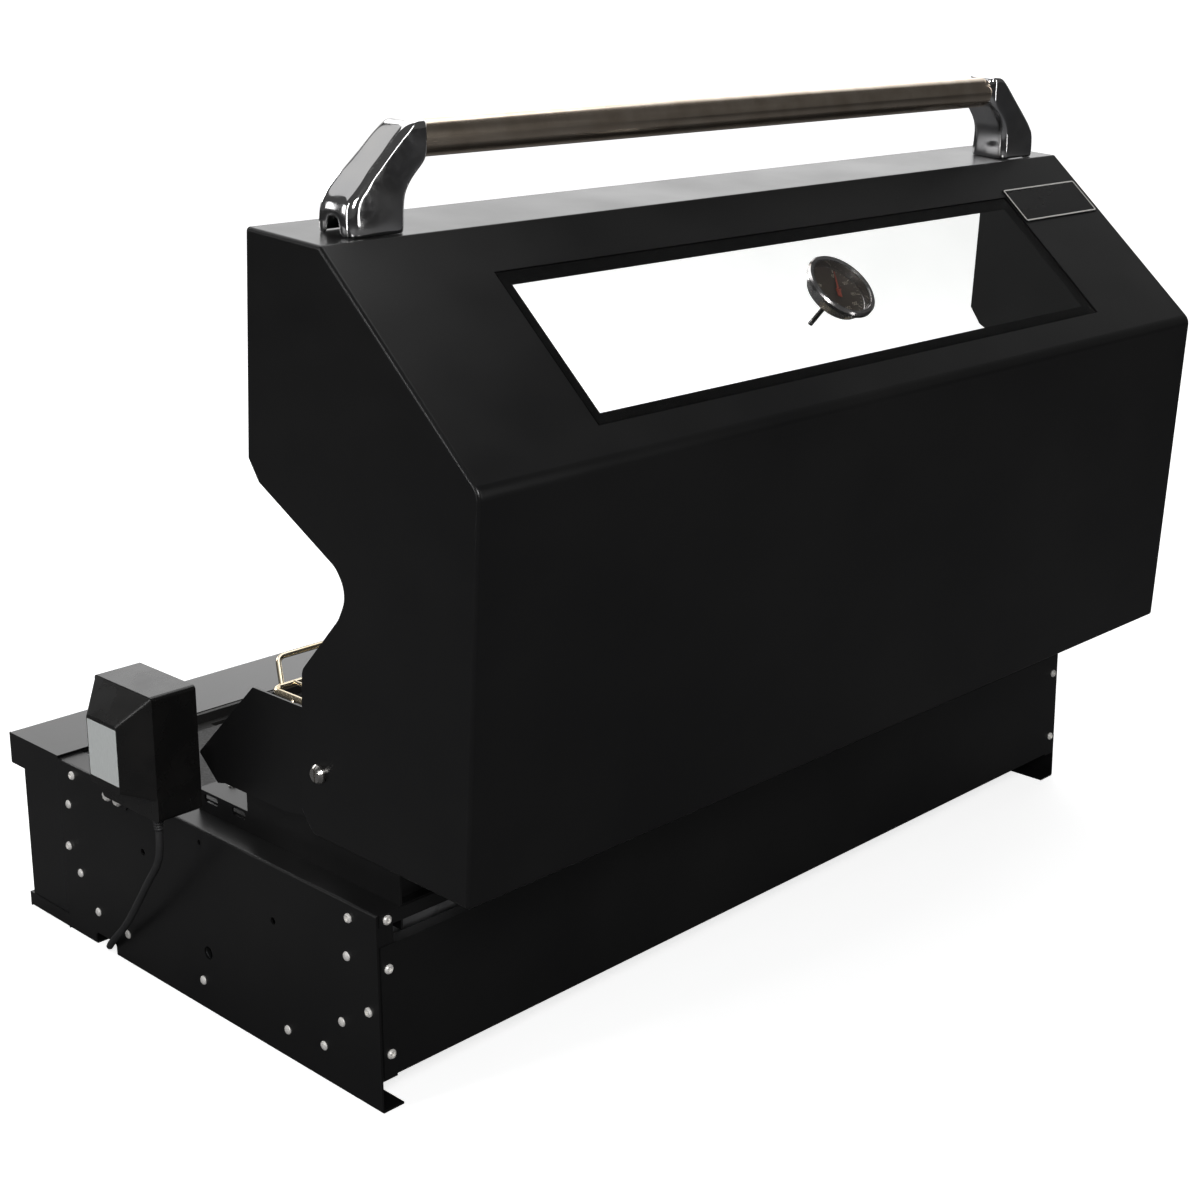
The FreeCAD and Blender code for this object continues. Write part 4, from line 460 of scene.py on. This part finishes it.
def slab(name, outline, thickness, material):
    """A flat plate of an outline, from nought up to its thickness, with softened upper edges."""
    shape = bmesh.new()
    low = [shape.verts.new((x, y, 0)) for x, y in outline]
    shape.faces.new(low)
    raised = bmesh.ops.extrude_face_region(shape, geom=shape.faces[:])
    lifted = [g for g in raised["geom"] if isinstance(g, bmesh.types.BMVert)]
    bmesh.ops.translate(shape, verts=lifted, vec=(0, 0, thickness))
    rim = [e for e in shape.edges if all(v.co.z > thickness / 2 for v in e.verts)]
    bmesh.ops.bevel(shape, geom=rim, offset=thickness * slab_edge_share, segments=2, affect="EDGES")
    bmesh.ops.recalc_face_normals(shape, faces=shape.faces[:])
    mesh = bpy.data.meshes.new(name)
    shape.to_mesh(mesh)
    shape.free()
    mesh.materials.append(material)
    thing = bpy.data.objects.new(name, mesh)
    bpy.context.scene.collection.objects.link(thing)
    return thing


knob_plastic = moulded("knob_plastic", knob_black, knob_grey, knob_roughness)
line_paint = moulded("line_paint", line_white, line_grey, line_roughness)
for number in range(1, burner_count + 1):
    knob = "knob_%d" % number
    dress(knob_plastic, "knob_plastic", knob)
    low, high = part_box(knob)
    outline = rounded_rectangle(line_width / 2, line_length / 2, line_end_radius)
    bar = slab("knob_line_%d" % number, outline, line_proud * 2, line_paint)
    bar.data.transform(upright)
    bar.data.transform(Matrix.Translation(((low.x + high.x) / 2, low.y + line_proud,
                                           high.z - line_end_gap - line_length / 2)))
    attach(bar, "knob %d" % number)

# Cooking plates.
# Two slotted grills and a solid hotplate are cast iron, coated in matt black enamel.
# The sand of the mould shows as a fine pebbled skin.
iron_black = (0.010, 0.010, 0.010)
iron_grey = (0.024, 0.023, 0.022)
iron_roughness = (0.50, 0.72)
sand_scale = 380.0
sand_depth = 0.0004
seasoning_scale = 14.0
cast_iron, tree, shader = new_finish("cast_iron")
skin = grain(tree, sand_scale, detail=4.0)
seasoning = grain(tree, seasoning_scale, detail=5.0)
tone = blend_of(tree, spread(tree, seasoning, tarnish_span), iron_black, iron_grey)
tree.links.new(tone, shader.inputs["Base Color"])
tree.links.new(spread(tree, skin, middle_span, iron_roughness), shader.inputs["Roughness"])
raise_surface(tree, shader, skin, sand_depth, strength=0.5)
dress(cast_iron, "cast_iron", "grill_plate_left", "grill_plate_middle", "hotplate_right")

# Drip tray.
# The pan that catches the fat is pressed from zinc-coated sheet and slides out to the front.
# Its front carries a folded finger grip.
tray_light = (0.52, 0.52, 0.53)
tray_dark = (0.38, 0.39, 0.40)
tray_roughness = 0.38
tray_steel = coated_steel("tray_steel", tray_light, tray_dark, tray_roughness, crystal=85.0)
dress(tray_steel, "tray_steel", "drip_tray")

# Warming rack.
# Bright chromed wires are welded into a rack on four splayed legs, with a raised rail along its front.
# The chrome's warm tone is a painted reflection of the light over the grill.
# Both rack tones are a painted warm reflection; random tarnish noise blends one into the other.
rack_painted_reflection_pale = (0.93, 0.83, 0.64)
rack_painted_reflection_warm = (0.86, 0.72, 0.48)
rack_roughness = 0.16
rack_chrome = machined("rack_chrome", rack_painted_reflection_pale, rack_painted_reflection_warm, rack_roughness, scratches=320.0)
dress(rack_chrome, "rack_chrome", "warming_rack")

# Screws, rivets and hinge bolts.
# Button-head screws with a hexagon socket hold the sheets, and dome rivets hold the runners.
# They are blasted stainless steel whose near-white colour is a painted reflection of bright surroundings,
# and the shoulder bolts of the hinge are turned from the bar.
# The near-white cream screw tones are a painted reflection of bright surroundings, not the colour of the
# steel.
screw_painted_reflection_bright = (0.96, 0.94, 0.91)
screw_painted_reflection_dull = (0.86, 0.84, 0.80)
bolt_bright = (0.66, 0.64, 0.61)
bolt_dull = (0.52, 0.50, 0.47)
screw_roughness = 0.36
screw_metal = 0.20
bolt_roughness = 0.26
bright_steel = machined("bright_steel", screw_painted_reflection_bright, screw_painted_reflection_dull, screw_roughness, scratches=500.0)
bright_steel.node_tree.nodes["Principled BSDF"].inputs["Metallic"].default_value = screw_metal
dress(bright_steel, "stainless", "screws", "rivets", "bracket_bolts")
bolt_steel = machined("bolt_steel", bolt_bright, bolt_dull, bolt_roughness)
dress(bolt_steel, "stainless", "hinge_bolts")

# Hood.
# Two side panels and one folded wrap are welded, ground flush and enamelled in a deep satin black.
# It swings back on its hinge bolts and is drawn here open.
hood_roughness = 0.30
hood_enamel = enamel("hood_enamel", hood_roughness, peel=0.00008)
dress(hood_enamel, "hood_enamel", "hood_shell")

# Name plate.
# A small pressed plate with a bright outline is stuck to the slope of the hood near its left end.
# Its field is plain black.
hinge_place = Vector((0, -0.0665, 0.296))
hood_front_y = -0.518
hood_fold_z = 0.2925
slope_run = 0.154
slope_rise = 0.1945
hood_open_angle = math.radians(94)
slope_tilt = math.atan2(slope_rise, slope_run)
plate_half_length = 0.070
plate_half_height = 0.0235
plate_thickness = 0.0010
plate_middle = (-0.443, 0.0625)
plate_corner_radius = 0.003
plate_roughness = 0.26
outline_width = 0.0016
outline_inset = 0.0012
outline_proud = 0.0003
outline_outer_radius = 0.0025
outline_inner_radius = 0.0010
outline_roughness = 0.34
silver_dark = (0.62, 0.61, 0.58)
silver_light = (0.72, 0.71, 0.68)
on_slope = (Matrix.Translation(grill_origin + hinge_place) @ Matrix.Rotation(-hood_open_angle, 4, "X")
            @ Matrix.Translation(Vector((0, hood_front_y, hood_fold_z)) - hinge_place)
            @ Matrix.Rotation(slope_tilt, 4, "X"))


def ring(name, outer, inner, thickness, material):
    """A flat frame between two outlines that have the same number of points."""
    count = len(outer)
    corners = [(x, y, z) for z in (0, thickness) for loop in (outer, inner) for x, y in loop]
    faces = []
    for k in range(count):
        n = (k + 1) % count
        out_low, in_low, out_top, in_top = 0, count, 2 * count, 3 * count
        faces.append((out_top + k, out_top + n, in_top + n, in_top + k))
        faces.append((out_low + n, out_low + k, in_low + k, in_low + n))
        faces.append((out_low + k, out_low + n, out_top + n, out_top + k))
        faces.append((in_low + n, in_low + k, in_top + k, in_top + n))
    thing = plain_mesh(name, corners, faces)
    thing.data.materials.append(material)
    return thing


plate_black = enamel("plate_black", plate_roughness)
outline_silver = moulded("outline_silver", silver_dark, silver_light, outline_roughness)
name_plate = slab("name_plate", rounded_rectangle(plate_half_length, plate_half_height, plate_corner_radius),
                  plate_thickness, plate_black)
outer_half = (plate_half_length - outline_inset, plate_half_height - outline_inset)
inner_half = (outer_half[0] - outline_width, outer_half[1] - outline_width)
name_outline = ring("name_plate_outline", rounded_rectangle(*outer_half, outline_outer_radius),
                    rounded_rectangle(*inner_half, outline_inner_radius),
                    plate_thickness + outline_proud, outline_silver)
for piece in (name_plate, name_outline):
    piece.data.transform(on_slope @ Matrix.Translation((plate_middle[0], plate_middle[1], 0)))
    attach(piece, "hood")

# Window.
# A dished frame of black steel behind the opening holds a sheet of clear toughened glass.
# The glass is 4 mm thick, very faintly green, and carries the thermometer.
frame_roughness = 0.20
glass_tint = (0.935, 0.945, 0.935)
glass_index = 1.45
handling_scale = 16.0
handling_span = (0.4, 0.7)
stain_share = 0.97
smear_span = (0.5, 0.8)
smear_roughness = (0, 0.02)
frame_enamel = enamel("frame_enamel", frame_roughness)
dress(frame_enamel, "window_frame", "window_frame")


def clear_glass(name, tint):
    """Clear glass with the faintest smear of handling on it."""
    material, tree, shader = new_finish(name)
    smear = grain(tree, handling_scale, detail=6.0)
    shader.inputs["Transmission Weight"].default_value = 1.0
    shader.inputs["IOR"].default_value = glass_index
    stained = tuple(stain_share * part for part in tint)
    tone = blend_of(tree, spread(tree, smear, handling_span), tint, stained)
    tree.links.new(tone, shader.inputs["Base Color"])
    tree.links.new(spread(tree, smear, smear_span, smear_roughness), shader.inputs["Roughness"])
    return material


window_glass = clear_glass("window_glass", glass_tint)
dress(window_glass, "window_glass", "window_glass")

# Thermometer.
# A chromed pressed case with a rolled bezel holds a dark dial, a red needle and a flat glass.
# Its stem passes through the window into the hood, where a nut holds it.
gauge_height_on_slope = 0.133
gauge_recess = 0.001
dial_height = 0.0060
dial_radius = 0.0305
dial_paint_height = 0.0004
dial_rim_height = 0.0002
dial_first_angle = math.radians(150)
dial_sweep = math.radians(270)
dial_first_number = 50
dial_number_step = 50
dial_number_count = 8
dial_fine_marks = 4
dial_mark_height = 0.00012
digit_size = 0.0052
digit_radius = 0.0205
mark_radius = 0.0285
long_mark = (0.0040, 0.0004)
short_mark = (0.0022, 0.0002)
ring_steps = 64
dial_brown = (0.060, 0.046, 0.034)
dial_olive = (0.085, 0.068, 0.048)
number_cream = (0.72, 0.67, 0.55)
number_dull = (0.52, 0.48, 0.40)
needle_red = (0.42, 0.07, 0.04)
needle_faded = (0.50, 0.12, 0.07)
case_light = (0.72, 0.70, 0.70)
case_dark = (0.60, 0.58, 0.58)
lens_tint = (0.99, 0.99, 0.985)
case_roughness = 0.18
needle_roughness = 0.42
dial_roughness = 0.45
number_roughness = 0.5
case_chrome = machined("case_chrome", case_light, case_dark, case_roughness, scratches=260.0)
dress(case_chrome, "chrome", "thermometer_case")
needle_paint = moulded("needle_red", needle_red, needle_faded, needle_roughness)
dress(needle_paint, "needle_paint", "thermometer_needle")
dress(clear_glass("lens_glass", lens_tint), "thermometer_lens", "thermometer_lens")
dial_paint = moulded("dial_paint", dial_brown, dial_olive, dial_roughness, texture=1500.0, depth=0.00003)
number_paint = moulded("number_paint", number_cream, number_dull, number_roughness)
on_dial = on_slope @ Matrix.Translation((0, gauge_height_on_slope, dial_height - gauge_recess))


def flat_marks(name, corners, faces, material):
    """Marks printed on the dial, laid on it and turning with the hood."""
    marks = plain_mesh(name, corners, faces)
    marks.data.materials.append(material)
    marks.data.transform(on_dial)
    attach(marks, "hood")


def dial_direction(share):
    """The way that a share of the sweep points, from the needle's rest clockwise round the dial."""
    angle = dial_first_angle - share * dial_sweep
    return Vector((-math.sin(angle), math.cos(angle), 0))


disc = [(0, 0, dial_paint_height)]
for k in range(ring_steps):
    angle = 2 * math.pi * k / ring_steps
    disc.append((dial_radius * math.cos(angle), dial_radius * math.sin(angle), dial_rim_height))
wedges = [(0, k + 1, (k + 1) % ring_steps + 1) for k in range(ring_steps)]
flat_marks("dial_face", disc, wedges, dial_paint)
corners = []
faces = []
mark_lift = Vector((0, 0, dial_paint_height + dial_mark_height))
mark_count = (dial_number_count - 1) * dial_fine_marks
for k in range(mark_count + 1):
    way = dial_direction(k / mark_count)
    across = Vector((-way.y, way.x, 0))
    whole = k % dial_fine_marks == 0
    length, half = long_mark if whole else short_mark
    first = len(corners)
    for along, side in ((mark_radius - length, -half), (mark_radius - length, half),
                        (mark_radius, half), (mark_radius, -half)):
        corners.append(way * along + across * side + mark_lift)
    faces.append((first, first + 1, first + 2, first + 3))
flat_marks("dial_marks", corners, faces, number_paint)
for k in range(dial_number_count):
    text = bpy.data.curves.new("dial_number", "FONT")
    text.body = str(dial_first_number + k * dial_number_step)
    text.size = digit_size
    text.align_x = "CENTER"
    text.align_y = "CENTER"
    written = bpy.data.objects.new("dial_number", text)
    bpy.context.scene.collection.objects.link(written)
    bpy.context.view_layer.update()
    mesh = bpy.data.meshes.new_from_object(written.evaluated_get(bpy.context.evaluated_depsgraph_get()))
    bpy.data.objects.remove(written)
    middle = dial_direction(k / (dial_number_count - 1)) * digit_radius
    mesh.transform(on_dial @ Matrix.Translation(middle + mark_lift))
    mesh.materials.clear()
    mesh.materials.append(number_paint)
    number = bpy.data.objects.new("dial_number_%d" % (k + 1), mesh)
    bpy.context.scene.collection.objects.link(number)
    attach(number, "hood")

# Handle.
# A polished stainless tube, 32 mm across, is held between two hollow cast brackets, chromed all over.
# The brackets lean in to the tube and are screwed to the hood's front face from inside.
hood_lower_edge = 0.1975
handle_up_face = 66.0
bracket_edge_radius = 9.0
edge_share_across = 0.42
edge_share_along = 0.45
bracket_corner_steps = 4
bracket_wall = 3.0
bracket_notch_half = 8.0
# Each section has its height over the hood, its inner and outer edge and half its width, in millimetres.
bracket_sections = [(0.0, 426.0, 486.0, 24.0), (16.0, 426.0, 486.0, 23.2), (25.0, 425.5, 485.2, 22.7),
                    (33.0, 424.0, 481.0, 22.2), (42.0, 418.5, 472.5, 21.7), (50.0, 410.5, 464.5, 21.2),
                    (57.0, 402.5, 457.0, 20.8), (64.0, 400.2, 449.5, 20.4), (72.0, 400.0, 441.5, 20.0),
                    (80.0, 400.0, 433.0, 19.6), (86.5, 400.0, 425.5, 19.2), (89.6, 400.8, 420.5, 18.0),
                    (90.6, 404.0, 415.5, 14.5)]
# The tube's cream and brown tones are a painted warm reflection; random tarnish noise blends one into the
# other.
tube_painted_reflection_bright = (0.92, 0.79, 0.65)
tube_painted_reflection_brown = (0.75, 0.62, 0.49)
tube_roughness = 0.20
chrome_cool = (0.80, 0.80, 0.82)
chrome_warm = (0.92, 0.91, 0.90)
chrome_roughness = (0.05, 0.14)
polish_scale = 22.0
polish_depth = 0.006
chrome_haze_scale = 160.0
polished_tube = machined("polished_tube", tube_painted_reflection_bright, tube_painted_reflection_brown, tube_roughness,
                         scratches=120.0, along=(0.02, 1, 1))
chrome, tree, shader = new_finish("chrome")
shader.inputs["Metallic"].default_value = 1.0
hand_polish = grain(tree, polish_scale, detail=1.0)
tone = blend_of(tree, spread(tree, hand_polish, middle_span), chrome_cool, chrome_warm)
tree.links.new(tone, shader.inputs["Base Color"])
haze = grain(tree, chrome_haze_scale, detail=4.0)
tree.links.new(spread(tree, haze, middle_span, chrome_roughness), shader.inputs["Roughness"])
raise_surface(tree, shader, hand_polish, polish_depth, strength=0.6)
dress(polished_tube, "polished_tube", "handle_tube")
on_hood_front = (Matrix.Translation(grill_origin + hinge_place) @ Matrix.Rotation(-hood_open_angle, 4, "X")
                 @ Matrix.Translation(Vector((0, hood_front_y, hood_lower_edge)) - hinge_place)
                 @ upright)
for side, bracket_node in ((1, "handle_bracket_right"), (-1, "handle_bracket_left")):
    corners = []
    for height, inner, outer, half in bracket_sections:
        radius = min(bracket_edge_radius, (outer - inner) * edge_share_across, half * edge_share_along)
        middle = (inner + outer) / 2
        outline = rounded_rectangle((outer - inner) / 2, half, radius, bracket_corner_steps)
        outline += [((outer - inner) / 2, -bracket_notch_half), ((outer - inner) / 2, bracket_notch_half)]
        corners += [Vector((side * (middle + x), handle_up_face + y, height)) / 1000 for x, y in outline]
    count = len(outline)
    rows = len(bracket_sections) - 1
    faces = [(row * count + k, row * count + (k + 1) % count, (row + 1) * count + (k + 1) % count,
              (row + 1) * count + k) for row in range(rows) for k in range(count)]
    notch = count - 2
    del faces[notch]
    faces.append(tuple(range(rows * count, (rows + 1) * count)))
    if side < 0:
        faces = [tuple(reversed(face)) for face in faces]
    bracket = plain_mesh(bracket_node + "_cast", corners, faces)
    bracket.data.transform(on_hood_front)
    bracket.data.materials.append(chrome)
    for face in bracket.data.polygons:
        face.use_smooth = True
    wall = bracket.modifiers.new("wall", "SOLIDIFY")
    wall.thickness = bracket_wall / 1000
    wall.offset = -1
    softer = bracket.modifiers.new("softer", "SUBSURF")
    softer.levels = 2
    softer.render_levels = 2
    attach(bracket, "hood")
    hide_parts(bracket_node)

# Rotisserie motor.
# A hollow moulded plastic housing with a tapered boss hangs on a folded bracket outside the right plate.
# It drives a socket with a square hole, and a rocker switch in its front face turns it on.
motor_black = (0.0065, 0.0063, 0.0062)
motor_grey = (0.0125, 0.0118, 0.0112)
motor_roughness = 0.27
switch_black = (0.016, 0.016, 0.017)
switch_grey = (0.030, 0.030, 0.030)
switch_roughness = 0.34
motor_plastic = moulded("motor_plastic", motor_black, motor_grey, motor_roughness, texture=700.0)
switch_plastic = moulded("switch_plastic", switch_black, switch_grey, switch_roughness)
dress(motor_plastic, "motor_plastic", "motor_housing")
dress(switch_plastic, "motor_plastic", "motor_switch")
dress(body_enamel, "body_enamel", "motor_bracket")
dress(stem_steel, "stainless", "spit_socket")

# Rating plate of the motor.
# A foil label is stuck on the flat outer face of the housing's boss.
# It is plain, in the light satin grey of the foil.
label_half_width = 0.0235
label_half_height = 0.0270
label_thickness = 0.0003
label_corner_radius = 0.0015
label_rise = 0.0625
label_light = (0.84, 0.87, 0.86)
label_dark = (0.76, 0.79, 0.78)
label_roughness = (0.30, 0.42)
label_metal = 0.10
label_brush_scale = 220.0
label_brush_span = (0.35, 0.65)
label_brush_depth = 0.00002
label_foil, tree, shader = new_finish("label_foil")
brushed = grain(tree, label_brush_scale, stretch=(1, 12, 1), detail=2.0)
tone = blend_of(tree, spread(tree, brushed, label_brush_span), label_dark, label_light)
tree.links.new(tone, shader.inputs["Base Color"])
tree.links.new(spread(tree, brushed, middle_span, label_roughness), shader.inputs["Roughness"])
shader.inputs["Metallic"].default_value = label_metal
raise_surface(tree, shader, brushed, label_brush_depth, strength=0.4)
motor_low, motor_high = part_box("motor_housing")
label = slab("motor_label", rounded_rectangle(label_half_width, label_half_height, label_corner_radius),
             label_thickness, label_foil)
label.data.transform(Matrix.Rotation(quarter_turn, 4, "Z") @ upright)
label.data.transform(Matrix.Translation((motor_high.x - label_thickness / 2,
                                         (motor_low.y + motor_high.y) / 2, motor_low.z + label_rise)))
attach(label, "grill body")

# Strain relief.
# A tapered rubber sleeve with grooves round it bends with the cord where it leaves the motor.
# It is snapped into the floor of the housing.
cord_diameter = 0.007
relief_top = 0.0045
relief_length = 0.0155
relief_wide = 0.0060
relief_narrow = 0.0043
relief_groove = 0.0006
relief_ribs = 6
relief_neck_radius = 0.0049
relief_neck_length = 0.0025
groove_share = 0.25
rib_start_share = 0.35
rib_end_share = 0.95
rubber_black = (0.020, 0.020, 0.021)
rubber_grey = (0.040, 0.040, 0.041)
rubber_roughness = 0.50
exit_place = Vector((0.5595, -0.2615, 0.1965))


def lathe(name, profile, material, turns=40):
    """A turned piece about its upright axis, from points of radius and height."""
    angles = [2 * math.pi * k / turns for k in range(turns)]
    corners = [(radius * math.cos(angle), radius * math.sin(angle), height)
               for radius, height in profile for angle in angles]
    faces = []
    for level in range(len(profile) - 1):
        for k in range(turns):
            n = (k + 1) % turns
            faces.append((level * turns + k, level * turns + n,
                          (level + 1) * turns + n, (level + 1) * turns + k))
    faces.append(tuple(reversed(range(turns))))
    faces.append(tuple(range((len(profile) - 1) * turns, len(profile) * turns)))
    thing = plain_mesh(name, corners, faces)
    thing.data.materials.append(material)
    for face in thing.data.polygons:
        face.use_smooth = len(face.vertices) == 4
    return thing


cord_rubber = moulded("cord_rubber", rubber_black, rubber_grey, rubber_roughness, texture=1200.0)
profile = []
rib_length = relief_length / relief_ribs
for k in range(relief_ribs):
    radius = relief_narrow + (relief_wide - relief_narrow) * k / (relief_ribs - 1)
    base = k * rib_length
    profile += [(radius - relief_groove, base), (radius - relief_groove, base + groove_share * rib_length),
                (radius, base + rib_start_share * rib_length), (radius, base + rib_end_share * rib_length)]
profile += [(relief_neck_radius, relief_length), (relief_neck_radius, relief_length + relief_neck_length),
            (relief_wide, relief_length + relief_neck_length), (relief_wide, relief_length + relief_top)]
relief = lathe("strain_relief", profile, cord_rubber)
relief.data.transform(Matrix.Translation(grill_origin + exit_place))
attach(relief, "grill body")
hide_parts("cable_gland")

# Mains cord.
# A round three-core rubber lead, 7 mm thick, hangs from the motor down the side plate and under its edge.
# The rest of it is wound in two layers of three turns and lies under the grill.
# The points of its route and the sizes of its coil are in millimetres, and its angles are in degrees.
cord_route = [(559.5, -261.5, 196.5), (559.5, -261.5, 176.0), (558.0, -271.0, 157.0), (553.5, -294.0, 134.0),
              (546.5, -330.0, 93.5), (537.5, -370.0, 53.0), (531.5, -405.5, 24.0), (525.0, -423.0, 9.0),
              (510.0, -441.0, 4.1), (488.0, -449.5, 4.1), (443.0, -446.8, 4.1)]
coil_middle = Vector((398.0, -400.0, 0.0))
coil_outer_radius = 46.8
coil_pitch = 7.6
coil_turns = 3
coil_low = 4.1
coil_tail = 38.0
coil_start_angle = -90.0
half_circle = 180.0
points_in_half_turn = 8

route = [Vector(p) for p in cord_route]
radius = coil_outer_radius
angle = coil_start_angle
step = coil_pitch / 2
for half_turn in range(4 * coil_turns + 1):
    climbs = half_turn == 2 * coil_turns
    upper = half_turn > 2 * coil_turns
    if upper:
        radius += step
    shifted = step if half_turn % 2 else 0.0
    middle = coil_middle + Vector((0, -shifted if upper else shifted, 0))
    for k in range(points_in_half_turn):
        share = k / points_in_half_turn
        turn = math.radians(angle - half_circle * share)
        rise = coil_pitch if upper else (coil_pitch * share if climbs else 0.0)
        route.append(middle + Vector((radius * math.cos(turn), radius * math.sin(turn), coil_low + rise)))
    angle -= half_circle
    if not upper and not climbs:
        radius -= step
top_end = Vector((coil_middle.x, coil_middle.y + coil_outer_radius, coil_low + coil_pitch))
route += [top_end, top_end + Vector((coil_tail, 0, 0))]

line = bpy.data.curves.new("mains_cord", "CURVE")
line.dimensions = "3D"
line.bevel_depth = cord_diameter / 2
line.bevel_resolution = 8
line.resolution_u = 8
spline = line.splines.new("NURBS")
spline.points.add(len(route) - 1)
for point, place in zip(spline.points, route):
    point.co = (*(grill_origin + place / 1000), 1.0)
spline.order_u = 3
spline.use_endpoint_u = True
line.materials.append(cord_rubber)
cord = bpy.data.objects.new("mains_cord", line)
bpy.context.scene.collection.objects.link(cord)
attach(cord, "grill body")
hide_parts("motor_cord", "cord_coil")

# Plug.
# The plug is moulded on to the cord's end in one piece of black rubber, waisted for the fingers.
# Its two round pins are nickel-plated brass with a rounded end.
plug_corner_share = 0.62
pin_radius = 0.0024
pin_length = 0.019
pin_spacing = 0.019
pin_tip_angles = (0, 30, 60, 85)
# Each section has its place along the plug, half its width and half its height, in millimetres.
plug_sections = [(0.0, 5.5, 5.5), (4.0, 5.8, 5.8), (10.0, 7.5, 7.0), (16.0, 11.0, 9.0), (24.0, 13.5, 10.2),
                 (32.0, 14.2, 10.4), (38.0, 16.4, 10.8), (41.2, 16.6, 10.8), (42.0, 15.6, 10.0)]
plug_length = plug_sections[-1][0] / 1000
plug_end = grill_origin + route[-1] / 1000
corners = []
for along, wide, tall in plug_sections:
    for y, z in rounded_rectangle(wide, tall, min(wide, tall) * plug_corner_share):
        corners.append(plug_end + Vector((along, y, z)) / 1000)
count = 4 * (corner_steps + 1)
faces = [(level * count + k, level * count + (k + 1) % count,
          (level + 1) * count + (k + 1) % count, (level + 1) * count + k)
         for level in range(len(plug_sections) - 1) for k in range(count)]
faces.append(tuple(reversed(range(count))))
faces.append(tuple(range((len(plug_sections) - 1) * count, len(plug_sections) * count)))
plug = plain_mesh("moulded_plug", corners, faces)
plug.data.materials.append(cord_rubber)
softer = plug.modifiers.new("softer", "SUBSURF")
softer.levels = 1
softer.render_levels = 1
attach(plug, "grill body")
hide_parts("cord_plug")
for number, side in enumerate((-1, 1), start=1):
    tip = [(pin_radius * math.cos(angle), pin_length - pin_radius * (1 - math.sin(angle)))
           for angle in map(math.radians, pin_tip_angles)]
    pin = lathe("plug_pin_%d" % number, [(pin_radius, 0)] + tip, bright_steel, turns=24)
    pin.data.transform(Matrix.Rotation(quarter_turn, 4, "Y"))
    pin.data.transform(Matrix.Translation(plug_end + Vector((plug_length, side * pin_spacing / 2, 0))))
    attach(pin, "grill body")

# Ties of the coil.
# Two flat plastic ties hold the wound cord together, one on each side of it.
# Each is a thin strap drawn round both layers.
tie_width = 0.004
tie_thickness = 0.0005
tie_angles = (0.0, 180.0)
tie_outer_radius = 0.0038
tie_inner_radius = 0.0033
tie_black = (0.025, 0.025, 0.026)
tie_grey = (0.045, 0.045, 0.046)
tie_roughness = 0.4
strap_side_room = 0.0037
tie_plastic = moulded("tie_plastic", tie_black, tie_grey, tie_roughness)
strap_half_width = coil_turns * coil_pitch / 2000 + strap_side_room
strap_half_height = coil_pitch / 2000 + cord_diameter / 2
strap_middle_radius = (coil_outer_radius - coil_turns * coil_pitch / 2) / 1000
for number, where in enumerate(tie_angles, start=1):
    outer = rounded_rectangle(strap_half_width + tie_thickness, strap_half_height + tie_thickness,
                              tie_outer_radius)
    inner = rounded_rectangle(strap_half_width, strap_half_height, tie_inner_radius)
    tie = ring("coil_tie_%d" % number, outer, inner, tie_width, tie_plastic)
    tie.data.transform(Matrix.Translation((0, 0, -tie_width / 2)))
    tie.data.transform(upright)
    tie.data.transform(Matrix.Translation((strap_middle_radius, 0, (coil_low + coil_pitch / 2) / 1000)))
    tie.data.transform(Matrix.Rotation(math.radians(where), 4, "Z"))
    tie.data.transform(Matrix.Translation(grill_origin + coil_middle / 1000))
    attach(tie, "grill body")
